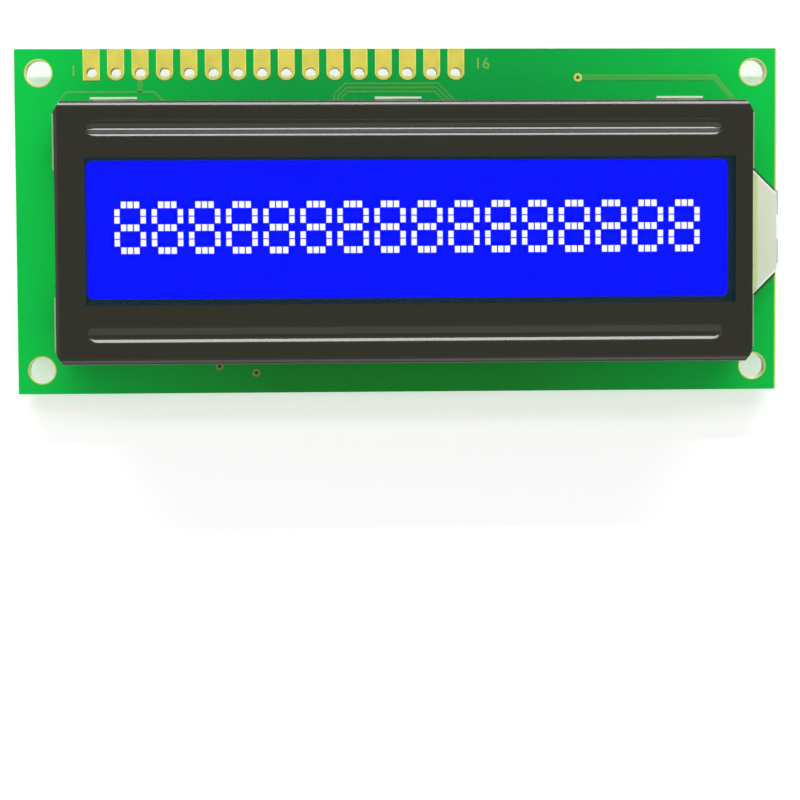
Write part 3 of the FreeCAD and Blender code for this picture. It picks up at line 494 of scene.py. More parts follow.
def pad_finish():
    """Connector copper: gold-yellow in front, brown bare copper behind, each with a lighter rim along the pad
    sides that is a painted highlight.
    """
    finish = Finish("connector_copper", screen(205, 195, 75), roughness=0.42, metallic=0.55)
    x, _, z = finish.spot()
    cell = finish.calc("DIVIDE", finish.calc("ADD", x, -PIN_START * MM), PIN_PITCH * MM)
    part = finish.calc("FRACT", finish.calc("ADD", cell, 0.5))
    reach = finish.calc("ABSOLUTE", finish.calc("SUBTRACT", part, 0.5))
    # Painted highlight: a lighter band along both sides of each pad.
    rim = finish.ramp(reach, 0.30, 0.335)
    front = finish.mix(rim, screen(203, 192, 78), screen(226, 226, 120))
    back = finish.mix(rim, screen(166, 120, 96), screen(196, 146, 112))
    side = finish.mix(finish.ramp(z, 0.0002, 0.0014), back, front)
    finish.mottle(side, 900.0, 0.14).uneven_gloss(0.34, 0.52, 900.0)
    return finish.bump(2500.0, 0.25).material


def plain_finish(name, colour, roughness, metallic, scale, amount, grain=2500.0, strength=0.2):
    finish = Finish(name, colour, roughness, metallic)
    return finish.mottle(None, scale, amount).bump(grain, strength).material


PAD, LAMINATE = pad_finish(), laminate_finish()
HOLE_WALL = plain_finish("hole_wall", screen(206, 206, 182), 0.6, 0.0, 900.0, 0.2, 2500.0, 0.3)
BARE_COPPER = plain_finish("bare_copper", screen(172, 124, 98), 0.45, 0.5, 1200.0, 0.25, 2600.0, 0.3)
VIA_COPPER = plain_finish("via_copper", screen(222, 178, 158), 0.4, 0.4, 1500.0, 0.2)
WHITE_PRINT = plain_finish("white_print", screen(238, 240, 226), 0.6, 0.0, 1200.0, 0.08, 3000.0, 0.3)
CREAM_PRINT = plain_finish("cream_print", screen(236, 232, 206), 0.6, 0.0, 1200.0, 0.1, 3000.0, 0.3)
GOLD_PRINT = plain_finish("number_in_copper", screen(120, 178, 62), 0.4, 0.1, 900.0, 0.1)
CASE_WHITE = plain_finish("white_moulding", screen(226, 234, 210), 0.4, 0.0, 150.0, 0.05, 1500.0, 0.08)
# A flat dark colour: painted shadow along the lamp case, and discs over two lone holes.
DARK_FILL = plain_finish("dark_fill", screen(36, 62, 48), 0.8, 0.0, 900.0, 0.1)
SHADED_RIM = plain_finish("shaded_rim", screen(122, 140, 80), 0.5, 0.1, 900.0, 0.1)
# Painted light along the upper edges of the slots.
SLOT_LIGHT = plain_finish("painted_slot_light", screen(222, 240, 208), 0.6, 0.0, 900.0, 0.1)
# Painted highlight on the lamp case's slanted edges.
CASE_HIGHLIGHT = plain_finish("case_painted_highlight", screen(252, 254, 246), 0.35, 0.0, 300.0, 0.03)
CASE_STRIP = plain_finish("case_strip", screen(206, 224, 158), 0.4, 0.0, 300.0, 0.06, 1500.0, 0.08)
PALE_FOLD = plain_finish("pale_fold", screen(118, 156, 108), 0.4, 0.2, 900.0, 0.15, 2500.0, 0.15)
WHITE_SHEET = plain_finish("white_sheet", screen(238, 240, 236), 0.5, 0.0, 300.0, 0.04, 1500.0, 0.1)
DIE = plain_finish("dark_die", screen(60, 60, 72), 0.2, 0.6, 600.0, 0.2)
LEAD = plain_finish("tinned_lead", screen(190, 188, 184), 0.34, 0.8, 700.0, 0.16, 1800.0, 0.25)


def paint_finish():
    """Satin black paint on steel, with a warm tone and a very fine orange peel."""
    finish = Finish("satin_black_paint", screen(27, 27, 12), roughness=0.4, specular=0.03)
    finish.set("Coat Weight", 0.5)
    finish.set("Coat Roughness", 0.12)
    finish.mottle(None, 90.0, 0.16).uneven_gloss(0.26, 0.36, 300.0)
    return finish.bump(1500.0, 0.12, 0.01).material


def epoxy_finish():
    """Black epoxy with a fine sandy texture and scattered pale specks."""
    finish = Finish("black_epoxy", screen(42, 42, 48), roughness=0.42)
    specks = finish.use(SPECKS, Scale=2600.0, Size=0.22)
    tone = finish.mix(specks.outputs["Mask"], screen(42, 42, 48), screen(96, 96, 100))
    finish.mottle(tone, 1200.0, 0.3).uneven_gloss(0.34, 0.55, 1500.0)
    return finish.bump(3200.0, 0.55, 0.03).material


def paper_finish():
    """Coated white paper with faint fibres."""
    finish = Finish("label_paper", screen(228, 228, 232), roughness=0.4)
    long = finish.node("Mapping", [("Vector", object_spot(finish.tree)), ("Scale", (1.0, 7.0, 1.0))])
    fibre = finish.node("TexNoise", [("Vector", long.outputs[0]), ("Scale", 700.0), ("Detail", 5.0)])
    share = finish.ramp(fibre.outputs["Fac"], 0.3, 0.7)
    tone = finish.mix(share, screen(214, 214, 219), screen(222, 222, 227))
    return finish.mottle(tone, 60.0, 0.03).bump(2200.0, 0.15).material


def chip_finish():
    """Chip resistor: white ceramic with a black glaze on the side away from the board."""
    finish = Finish("chip_ceramic", screen(40, 38, 36), roughness=0.35)
    depth = finish.ramp(finish.spot()[2], -0.00046, -0.0004)
    tone = finish.mix(depth, screen(34, 32, 32), screen(226, 224, 216))
    return finish.mottle(tone, 1500.0, 0.15).bump(3000.0, 0.3).material


def solder_finish(name, bright, dull, share):
    """Solder: bright metal with dull reddish patches where flux and copper show."""
    finish = Finish(name, bright, roughness=0.22, metallic=0.85)
    patch = finish.ramp(noise(finish.tree, 900.0, 4.0), share - 0.06, share + 0.06)
    finish.mottle(finish.mix(patch, dull, bright), 600.0, 0.1).uneven_gloss(0.14, 0.36, 700.0)
    return finish.bump(900.0, 0.3, 0.03).material


def rubber_finish():
    """Elastomer connector: pink rubber either side of a dark core, in lengthwise layers."""
    strip_middle = 11.75 * MM
    finish = Finish("layered_elastomer", screen(206, 120, 128), roughness=0.55)
    out = finish.calc("ABSOLUTE", finish.calc("ADD", finish.spot()[1], -BEZEL_Y * MM))
    reach = finish.calc("ABSOLUTE", finish.calc("SUBTRACT", out, strip_middle))
    core = finish.mix(finish.ramp(reach, 0.00022, 0.00028), screen(60, 20, 28), screen(214, 128, 136))
    return finish.mottle(core, 1500.0, 0.1).bump(2500.0, 0.2).material


def clear_finish(name, colour, bending, scale, strength):
    """Clear sheet or glass with a trace of unevenness in its surface."""
    finish = Finish(name, colour, roughness=0.0)
    finish.set("Transmission Weight", 1.0)
    finish.set("IOR", bending)
    return finish.bump(scale, strength, 0.01).material


def glow_finish(name, colour, strength, amount):
    """A lit part of the display: its colour comes from the light behind it."""
    finish = Finish(name, (0.0, 0.0, 0.0, 1.0), roughness=0.6, specular=0.0)
    patches = finish.use(MOTTLE, Colour=colour, Scale=60.0, Amount=amount)
    finish.feed("Emission Color", patches.outputs["Colour"])
    finish.set("Emission Strength", strength)
    return finish.material


PAINT, EPOXY, PAPER = paint_finish(), epoxy_finish(), paper_finish()
CHIP, RUBBER = chip_finish(), rubber_finish()
JOINT = solder_finish("hand_solder", screen(236, 234, 230), screen(168, 116, 96), 0.47)
SOLDER = solder_finish("bright_solder", screen(232, 230, 226), screen(176, 128, 108), 0.42)
GOLD_RIM = plain_finish("gold_rim", screen(206, 202, 96), 0.4, 0.3, 900.0, 0.1)
FRONT_FILM = clear_finish("front_film", (1, 1, 1, 1), 1.1, 300.0, 0.02)
CELL_GLASS = clear_finish("cell_glass", (1, 1, 1, 1), 1.1, 200.0, 0.01)
REAR_GLASS = clear_finish("rear_glass", screen(206, 232, 222), 1.5, 300.0, 0.02)
GREY_FILM = plain_finish("grey_film", screen(92, 96, 110), 0.3, 0.0, 200.0, 0.05)
GUIDE = plain_finish("milky_guide", screen(228, 236, 240), 0.16, 0.0, 120.0, 0.04, 900.0, 0.04)
LAMP = plain_finish("lamp_resin", screen(236, 232, 196), 0.25, 0.0, 900.0, 0.06)
LAMP_BOARD = plain_finish("lamp_board", screen(226, 228, 218), 0.45, 0.0, 500.0, 0.06)
LIT_BLUE = glow_finish("lit_blue", screen(0, 8, 255), 1.02, 0.02)
LIT_WHITE = glow_finish("lit_white", screen(250, 252, 255), 1.02, 0.01)
CELL_DARK = glow_finish("unlit_cell", screen(15, 38, 48), 1.0, 0.05)


# Printed board

# Plated holes in mm on the drawn back
HOLES_BY_DROP = [(10.95, 4.35), (12.1, 4.35), (13.3, 4.35), (10.9, 3.2), (13.35, 2.05), (12.35, 1.65),
                 (11.1, 1.35), (12.1, 0.15), (11.25, -0.65), (11.1, -2.15), (13.25, -2.4), (11.05, -4.45),
                 (12.1, -4.1), (13.3, -3.75), (9.55, -4.1), (9.65, -5.25), (8.5, -5.6), (7.35, -6.05)]
CORNER_HOLES = [(-34.0, -6.1), (-34.65, -8.4), (-35.75, -9.95)]


def via_places():
    """Plated holes of the back: rows and grids of the layout."""
    near_row = [(-32.95 + 2.51 * k, -7.15) for k in range(13)]
    far_row = [(-32.15 + 2.545 * k, -8.22) for k in range(12)]
    far_row += [(-1.6, -8.38), (-0.4, -8.53), (0.9, -8.92), (2.07, -8.92), (3.4, -8.92)]
    zigzag = [(-33.3 + 1.255 * k, 5.89 if k % 2 == 0 else 6.38) for k in range(6)]
    low_row = [(4.6 + 1.26 * k, -13.96) for k in range(10)]
    low_row[2] = (7.14, -13.2)
    grid = [(17.75 + 1.22 * k - 0.07 * j, 6.35 - 1.89 * j) for j in range(4) for k in range(3)]
    grid += [(21.4, 0.25), (23.35, 1.05), (17.65, -1.75), (18.95, -1.75), (20.45, -1.7), (22.05, -2.1),
             (18.15, -4.15), (20.0, -4.65), (17.95, -5.65)]
    fan = [(24.3, -7.05), (25.1, -6.1), (25.9, -5.25), (26.7, -6.2), (28.05, -6.2), (27.4, -7.25),
           (29.1, -6.9), (30.1, -7.65), (33.1, -8.45), (34.45, -8.45), (35.25, -9.65)]
    lone = [(15.08, -15.9), (18.95, -15.2), (24.65, 12.25), (35.5, 7.65), (-18.97, 14.96)]
    return np.array(near_row + far_row + CORNER_HOLES + zigzag + HOLES_BY_DROP + low_row + grid + fan + lone)


VIAS = via_places()
PINS = [(PIN_START + PIN_PITCH * k, PIN_Y) for k in range(PIN_COUNT)]
LARGE_HOLES = [(HOLE_X * side, HOLE_Y * end) for side in (-1, 1) for end in (-1, 1)]
SLOTS = [(TAB_PITCH * side, *place) for side in (-1, 0, 1) for place in (SLOT_LOW, SLOT_HIGH)]


def make_board():
    half_length, half_width = BOARD_LENGTH / 2, BOARD_WIDTH / 2
    lines = [rectangle_line(-half_length, -half_width, half_length, half_width)]
    lines += [circle_line(x, y, HOLE_RADIUS, 48) for x, y in LARGE_HOLES]
    lines += [circle_line(x, y, 0.6, 24) for x, y in PINS]
    lines += [stadium(x, y, SLOT_LENGTH, width) for x, y, width in SLOTS]
    lines += [circle_line(-u, v, VIA_HOLE, 8) for u, v in VIAS]
    mesh = plate_mesh("printed_board", lines, 0.0, BOARD_THICK)
    add_piece("printed_board", mesh, [MASK_FRONT, MASK_BACK, LAMINATE, HOLE_WALL], "board",
              replaces=["circuit_board"])
    normals, centres = np.empty(len(mesh.polygons) * 3), np.empty(len(mesh.polygons) * 3)
    mesh.polygons.foreach_get("normal", normals)
    mesh.polygons.foreach_get("center", centres)
    up = normals.reshape(-1, 3)[:, 2]
    across = np.abs(centres.reshape(-1, 3)) / MM
    outside = (across[:, 0] > half_length - 0.01) | (across[:, 1] > half_width - 0.01)
    choice = np.where(up > 0.5, 0, np.where(up < -0.5, 1, np.where(outside, 2, 3)))
    mesh.polygons.foreach_set("material_index", choice.astype(np.int32))


def pad_line(x, y, square):
    """From the board edge down to the hole, with a half ellipse round the hole or a square end."""
    half, reach, top = 0.87, 0.76, BOARD_WIDTH / 2
    if square:
        return rectangle_line(x - half, y - reach, x + half, top)
    low_end = arc(0, 0, 1, math.pi, 2 * math.pi, 17) * (half, reach) + (x, y)
    return np.concatenate([[(x + half, top), (x - half, top)], low_end])


def make_pads():
    """Connector pads on both sides of the board, joined by the plating of their holes."""
    lines = [pad_line(x, y, number == 0) for number, (x, y) in enumerate(PINS)]
    holes = [circle_line(x, y, PAD_HOLE, 28) for x, y in PINS]
    high, low = BOARD_THICK + PAD_RAISE, -PAD_RAISE
    heap = Heap()
    for level, top in ((BOARD_THICK, high), (low, 0.0)):
        heap.take(plate_mesh("pads", lines + holes, level, top))
    for hole in holes:
        heap.add(*loft([hole, hole], (high, low)))
    add_shapes("connector_pads", heap, PAD, "copper_tinned", np.asarray, replaces=["header_pads"])


def make_vias():
    rings = [ring(u, v, VIA_HOLE, VIA_RIM, VIA_RAISE, 16) for u, v in VIAS]
    walls = []
    for u, v in VIAS:
        points, faces = loft([circle_line(u, v, VIA_HOLE - 0.005, 10)] * 2, (0.03, -BOARD_THICK))
        walls.append((points, np.array(faces)[:, ::-1]))
    add_shapes("via_rings", rings, VIA_COPPER, "copper_bare")
    add_shapes("via_walls", walls, VIA_COPPER, "copper_bare")


# Copper tracks under the mask

def rim_of_drop(v):
    """Where a level line meets the epoxy drop."""
    radius = 6.9
    return BLOB_X - math.sqrt(max(0.0, radius ** 2 - (v - BLOB_Y) ** 2))


def label_low(u):
    return -2.45 - 0.0976 * (u + 27.56)


def label_high(u):
    return 7.35 - 0.0985 * (u + 26.62)


def tracks_left():
    """Tracks round the label."""
    lines = []
    for k in range(5):
        u, lane, cut = -33.3 + 1.255 * k, 2.87 + 0.48 * k, 1.4 - 0.22 * k
        lines.append([(u, 5.7), (u, lane + cut), (u + cut, lane), (-26.6, lane)])
    near_v, far_v, between = -7.0, -8.1, -7.5
    near = [(-32.95 + 2.51 * k, near_v) for k in range(8)]
    far = [(-32.15 + 2.545 * k, far_v) for k in range(8)]
    for k, (u, v) in enumerate(sorted(near + far)):
        if k < 6:
            lane = (-2.59, -3.29, -3.97, -4.59, -5.42, -6.09)[k]
            bend = min(-5.9, lane - 1.0)
            stop = (-26.8, -24.94, -25.07, -25.14, -25.42, -25.54)[k]
            rise = max(0.3, label_low(stop) - lane + 0.6)
            lines.append([(u, v), (u, bend), (u + lane - bend, lane), (stop, lane),
                          (stop + rise, lane + rise)])
        else:
            foot = v + (0.45 if v > between else 0.65)
            rise = label_low(u + 3.0) - foot + 0.7
            lines.append([(u, v), (u, foot), (u + rise, foot + rise)])
    for k in range(7):
        lane = 8.5 - LANE * k
        start = -17.1 + 0.55 * k
        rise = lane - label_high(start) + 0.4
        stop = rim_of_drop(min(lane, 7.0))
        path = [(start, lane - rise), (start + rise, lane), (stop if lane < 7.3 else 1.0 - 0.3 * k, lane)]
        if lane > 7.3:
            path.append((path[-1][0] + 1.0, lane - 1.0))
        lines.append(path)
    for k in range(17):
        lane = 5.6 - LANE * k
        lines.append([(-7.6, lane), (rim_of_drop(lane), lane)])
    for k, u in enumerate((-13.0, -11.8, -10.5, -9.25, -7.9, -6.7, -5.4, -4.15, -2.85)):
        v = far_v if k % 2 else near_v
        foot = v + (0.9 if k % 2 else 0.4)
        level = -1.1 - 0.62 * k
        lines.append([(u, v), (u, foot), (u + level - foot, level), (rim_of_drop(level), level)])
    for k, (u, v) in enumerate(((-1.6, -8.3), (-0.4, -8.4), (0.9, -8.8), (2.07, -8.8), (3.4, -8.8))):
        lean = (1.3, 1.0, 0.5, 0.0, -0.8)[k]
        lines.append([(u, v), (u, v + 0.45), (u + lean, v + 0.45 + abs(lean)), (u + lean, -5.9)])
    for k, ((u, v), cut) in enumerate(zip(CORNER_HOLES, (1.65, 0.9, 0.25))):
        lane = -9.27 - 0.5 * k
        last = 0.2 + 0.95 * k
        lines.append([(u, v), (u, lane + cut), (u + cut, lane), (last, lane),
                      (last + 0.7, lane + 0.4 + 0.22 * k)])
    return lines


def tracks_right():
    """Tracks from the connector and the epoxy drop to the grid of plated holes and the fan."""
    lines = []
    heads = []
    first_lane, second_lane = 12.75, 10.0
    for k in range(17):
        lane = first_lane - LANE * k
        if k < 7:
            u = (11.68, 9.14, 6.6, 5.4, 5.0, 4.6, 4.2)[k]
            cut = 0.9 if k < 3 else 0.6
            heads.append([(u, 14.5 if k < 3 else 13.4), (u, lane + cut), (u + cut, lane)])
        else:
            start = 4.6 + 0.155 * (k - 7)
            heads.append([(start - 2.4, lane - 2.4), (start, lane)])
    tails = (
        [(20.9, 1.5), (19.5, 1.5), (18.88, 0.88)], [(20.8, 1.89), (18.6, 1.89), (17.68, 0.97)],
        [(20.98, 2.56), (20.13, 2.54)], [(21.3, 3.3), (19.6, 3.3), (18.93, 2.65)],
        [(21.2, 3.68), (18.7, 3.68), (17.68, 2.66)], [(21.2, 4.4), (20.26, 4.4)],
        [(21.25, 5.1), (19.6, 5.1), (18.96, 4.5)], [(21.1, 5.48), (18.8, 5.48), (17.81, 4.5)],
    )
    for k, tail in enumerate(tails):
        lane, low = first_lane - LANE * k, second_lane - LANE * k
        knee, wall = 16.9 - 0.155 * k, 24.15 - 0.35 * k
        foot = tail[0][1] + wall - tail[0][0]
        lines.append(heads[k] + [(knee, lane), (knee + 2.75, low), (wall - 0.8, low), (wall, low - 0.8),
                                 (wall, foot)] + tail)
    for k in range(8):
        u, lane = 14.2 + 0.395 * k, first_lane - LANE * (16 - k)
        low, turn = -10.22 + 0.42 * k, 1.2
        hole_u = (30.1, 29.1, 28.05, 27.4, 26.7, 25.9, 25.1, 24.3)[k]
        hole_v = (-7.8, -7.1, -6.4, -7.4, -6.4, -5.4, -6.3, -7.15)[k]
        rise = max(0.15, min(1.5, (hole_v - low) * 0.7))
        lines.append(heads[16 - k] + [(u - 0.5, lane), (u, lane - 0.5), (u, low + turn), (u + turn, low),
                                      (hole_u - rise, low), (hole_u, low + rise), (hole_u, hole_v)])
    return lines + [
        [(24.65, 12.25), (25.13, 11.8), (25.13, 4.04), (21.4, 0.3)],
        [(23.65, 14.4), (23.65, 9.9), (24.55, 9.0), (24.55, 4.75), (20.7, 0.9), (20.08, 0.66)],
        [(19.38, 14.4), (19.38, 11.3), (20.55, 10.1)],
        [(22.1, -0.35), (22.65, 0.2), (31.0, 0.2)],
        [(20.45, -1.7), (21.3, -0.85), (25.5, -0.8), (26.0, -0.32), (36.6, -0.32)],
        [(21.9, -2.1), (22.8, -1.4), (26.2, -1.35), (26.9, -0.8), (34.9, -0.8)],
        [(21.6, -3.1), (23.2, -3.1), (23.9, -2.4), (31.0, -2.4)],
        [(18.2, -4.15), (18.8, -3.6), (28.5, -3.6), (29.9, -5.0), (31.0, -5.0)],
        [(20.0, -4.65), (24.4, -4.65), (25.0, -4.1), (27.9, -4.1), (30.5, -6.7)],
        [(35.5, 7.65), (32.75, 7.65), (32.1, 7.0)],
        [(18.95, -15.2), (18.95, -12.1), (19.75, -11.3), (33.6, -11.3), (35.25, -9.65)],
        [(15.1, -15.9), (16.4, -15.9), (17.9, -14.4), (17.9, -12.0), (19.0, -10.9), (32.15, -10.9),
         (34.45, -8.6)],
        [(13.2, -15.2), (16.6, -15.2), (17.5, -14.3), (17.5, -11.7), (18.7, -10.5), (31.2, -10.5),
         (33.1, -8.6)],
    ]


def tracks_low():
    """Tracks that leave the lower right of the epoxy drop."""
    lines = []
    for k in range(10):
        wall = 4.66 + 0.4 * k
        hole_u = 4.6 + 1.26 * k
        hole_v = -13.2 if k == 2 else -13.96
        top = -8.95 + 0.12 * k
        path = [(wall - 2.1, top + 2.1), (wall, top)]
        if k < 2:
            path += [(wall, hole_v + 0.75), (hole_u, hole_v + 0.5)]
        elif k == 2:
            path += [(wall, -12.1), (wall + 1.14, -12.8)]
        else:
            path += [(wall, hole_v + 0.85 + 0.62 * (hole_u - 0.35 - wall)), (hole_u - 0.35, hole_v + 0.85),
                     (hole_u, hole_v + 0.5)]
        lines.append(path + [(hole_u, hole_v)])
    return lines


def tracks_beside():
    """Short tracks from the drop to the holes at its right."""
    lines = []
    for u, v in HOLES_BY_DROP:
        inward = math.atan2(v * 0.75 - BLOB_Y, u - BLOB_X)
        start = np.array([BLOB_X + 6.8 * math.cos(inward), BLOB_Y + 6.8 * math.sin(inward)])
        gap = np.array([u, v]) - start
        slant = min(abs(gap[0]), abs(gap[1]))
        knee = start + np.sign(gap) * slant
        lines.append([tuple(start), tuple(knee + (1e-3, 1e-3)), (u, v)])
    return lines


def wide_tracks():
    """Supply tracks: (line, width)."""
    return [
        ([(-33.6, 9.3), (-33.2, 8.97), (-23.9, 8.9), (-22.87, 9.92), (-22.87, 11.0)], 0.45),
        ([(-34.98, 4.6), (-34.98, 4.3), (-34.4, 3.75), (-34.4, -2.2), (-35.5, -3.3), (-36.6, -3.3)], 0.55),
        ([(-19.0, 12.4), (-14.9, 12.3), (-4.7, 12.3), (-3.6, 13.4), (-3.56, 14.2)], 0.5),
        ([(-22.7, 16.2), (-22.0, 16.93), (-15.1, 16.93), (-12.4, 14.2), (-7.0, 14.2), (-6.4, 14.6)], 0.42),
        ([(28.63, 9.9), (28.63, 2.3), (27.3, 1.05), (23.4, 1.05)], 0.5),
        ([(29.9, 9.6), (28.8, 8.3)], 0.4),
        ([(33.6, 13.4), (33.6, 11.3), (32.7, 10.5)], 0.5),
        ([(21.84, 14.4), (21.84, 10.4)], 0.45),
        ([(22.75, 13.3), (22.75, 10.3)], 0.35),
    ]


def front_tracks():
    """Tracks in sight between the connector and the bezel: (line, width)."""
    outer = [(-6.71, 12.0), (-6.71, 13.2), (-5.55, 14.33), (4.2, 14.33), (6.4, 12.1)]
    rings = [(beside(outer, -0.42 * k), 0.2) for k in range(3)]
    return rings + [
        ([(-35.9, 11.8), (-34.65, 13.48), (-25.5, 13.48), (-24.1, 12.1)], 0.22),
        ([(-26.97, 14.7), (-26.97, 13.5)], 0.5),
        ([(18.97, 14.96), (33.45, 14.93), (35.4, 12.6)], 0.55),
    ]


def make_tracks():
    """Each track lies in a wider clear band, where the copper around it is cut away."""
    thin = [(line, TRACK) for line in tracks_left() + tracks_right() + tracks_low() + tracks_beside()]
    bands, copper = [], []
    for tracks, clearing, level in ((thin, 0.26, 0.004), (wide_tracks(), 0.3, 0.0035)):
        for number, (line, width) in enumerate(tracks):
            bands.append(ribbon(line, width + clearing, level + 0.00002 * number, slope=0.0))
            copper.append(ribbon(line, width))
    add_shapes("track_clearings", bands, MASK_BARE, "board")
    add_shapes("tracks", copper, MASK_TRACK, "board")
    front = [ribbon(line, width) for line, width in front_tracks()]
    add_shapes("front_tracks", front, MASK_TRACK_FRONT, "board", lift_to_front)


# White print and small marks

def bracket(left, right, level, reach):
    """Three sides of a box: the level side, and two sides that go up or down by reach."""
    return [(left, level + reach), (left, level), (right, level), (right, level + reach)]


def slanted_eight(u, v, width=1.05, height=1.95, lean=0.28):
    """Seven short bars of a slanted figure eight."""
    gap, rise = 0.1, 0.06
    level = [[(gap, b), (1 - gap, b)] for b in (0, 0.5, 1)]
    upright = [[(a, b + rise), (a, b + 0.5 - rise)] for b in (0, 0.5) for a in (0, 1)]
    return [[(u + a * width + b * lean * height, v + b * height) for a, b in bar] for bar in level + upright]


def make_print():
    """Outlines round the chips, plain numbers beside them and under the connector holes."""
    lines = []
    for left, right in ((-39.45, -36.75), (-36.4, -33.65)):
        lines += [(bracket(left, right, 10.6, -2.1), 0.32), (bracket(left, right, 4.55, 2.0), 0.32)]
    for left, right in ((30.9, 33.15), (33.97, 36.25), (37.0, 39.28)):
        lines += [(bracket(left, right, 5.1, -1.85), 0.3), (bracket(left, right, 0.3, 2.0), 0.3)]
        lines += [(bracket(left, right, -1.4, -1.95), 0.3), (bracket(left, right, -6.22, 1.95), 0.3)]
        lines += [([(left - 0.1, 2.75), (left + 0.45, 2.75)], 0.18)]
    lines += [([(-21.56, 11.2), (-21.56, 16.1)], 0.4), ([(-21.9, 13.65), (-21.2, 13.65)], 0.3),
              ([(-18.7, 14.9), (-18.45, 14.4)], 0.28)]
    for figure in range(4):
        for bar in slanted_eight(19.2 + 1.62 * figure, -10.95):
            lines.append((bar, 0.24))
    lines.append(([(25.9, -10.85), (26.3, -11.1)], 0.22))
    shapes = [ribbon(line, width, PRINT_RAISE, PRINT_SLOPE) for line, width in lines]
    box = rectangle_line(-24.0, 11.15, -19.05, 16.1)
    shapes.append(ribbon(box, 0.32, PRINT_RAISE, PRINT_SLOPE, closed=True))
    add_shapes("print_outlines", shapes, WHITE_PRINT, "paper")
    pins = [(str(PIN_COUNT - k), -PINS[-1][0] + PIN_PITCH * k, 13.85) for k in range(PIN_COUNT)]
    chips = [("7", -38.1, 11.75), ("8", -35.0, 11.75), ("5", 32.0, 6.35), ("4", 35.1, 6.35),
             ("3", 38.15, 6.35), ("6", 32.0, -7.3), ("1", 35.1, -7.3), ("2", 38.15, -7.3)]
    for name, words, height, bold in (("pin_numbers", pins, 1.0, 0.06), ("chip_numbers", chips, 1.35, 0.08)):
        add_shapes(name, print_digits(words, height, PRINT_RAISE, bold), WHITE_PRINT, "paper")
    front = print_digits([("1", -33.85, 15.7), ("16", 8.85, 16.4)], 1.2, MARK_RAISE)
    add_shapes("end_pin_numbers", front, GOLD_PRINT, "board", lift_to_front)


def make_chip_figures():
    """Small figures on the black tops of the chips, turned a quarter."""
    chip_top = 0.5
    chips = [(38.16 - 3.06 * k, v, "100") for k in range(3) for v in (2.7, -3.81)]
    chips += [(-38.14, 7.5, "101"), (-22.88, 13.61, "0"), (-20.34, 13.61, "0")]
    shapes = []
    for u, v, figures in chips:
        word = print_digits([(figures, 0.0, 0.0)], 0.62 if len(figures) > 1 else 0.8, 0.012, 0.02)
        x, y, z = np.concatenate(word.points).T
        shapes.append((np.stack([u - y, v + x, z + chip_top], 1), word.faces))
    add_shapes("chip_figures", shapes, WHITE_PRINT, "paper")


def make_marks():
    """Rims of the four large and of lone holes, pale strips of painted light along the slots' upper edges,
    two round aiming marks.
    """
    lone, aims, dot = ((-18.95, -15.2), (-15.08, -15.9)), ((-38.16, -7.97), (37.6, 10.8)), 0.5
    rims = [ring(x, y, VIA_HOLE, 0.42, VIA_RAISE) for x, y in lone]
    add_shapes("shaded_hole_rims", rims, SHADED_RIM, "copper_tinned", lift_to_front)
    # Dark discs over the two lone holes.
    dark_discs = [disc(x, y, VIA_HOLE, 0.012) for x, y in lone]
    add_shapes("dark_hole_discs", dark_discs, DARK_FILL, "board", lift_to_front)
    # Painted light: a pale strip on the board along each upper slot edge, standing in for the lit slot wall.
    level, reach = SLOT_HIGH[0] + SLOT_HIGH[1] / 2 + 0.1, 2.45
    slot_lights = [ribbon([(TAB_PITCH * side - reach, level), (TAB_PITCH * side + reach, level)], 0.22, MARK_RAISE,
                     PRINT_SLOPE) for side in (-1, 0, 1)]
    add_shapes("slot_light_strips", slot_lights, SLOT_LIGHT, "board", lift_to_front)
    back, front = ([ring(x, y, HOLE_RADIUS, HOLE_RADIUS + rim, MARK_RAISE, 48) for x, y in LARGE_HOLES]
                   for rim in (0.13, 0.12))
    front.append(ring(18.97, 14.96, VIA_HOLE, 0.45, VIA_RAISE))
    add_shapes("back_hole_rims", back, VIA_COPPER, "copper_bare")
    add_shapes("front_hole_rims", front, GOLD_RIM, "copper_tinned", lift_to_front)
    add_shapes("aiming_marks", [disc(u, v, dot, VIA_RAISE) for u, v in aims], BARE_COPPER, "copper_bare")
    add_shapes("aiming_mark_rims", [ring(u, v, dot, 0.95, 0.012) for u, v in aims], MASK_TRACK, "board")


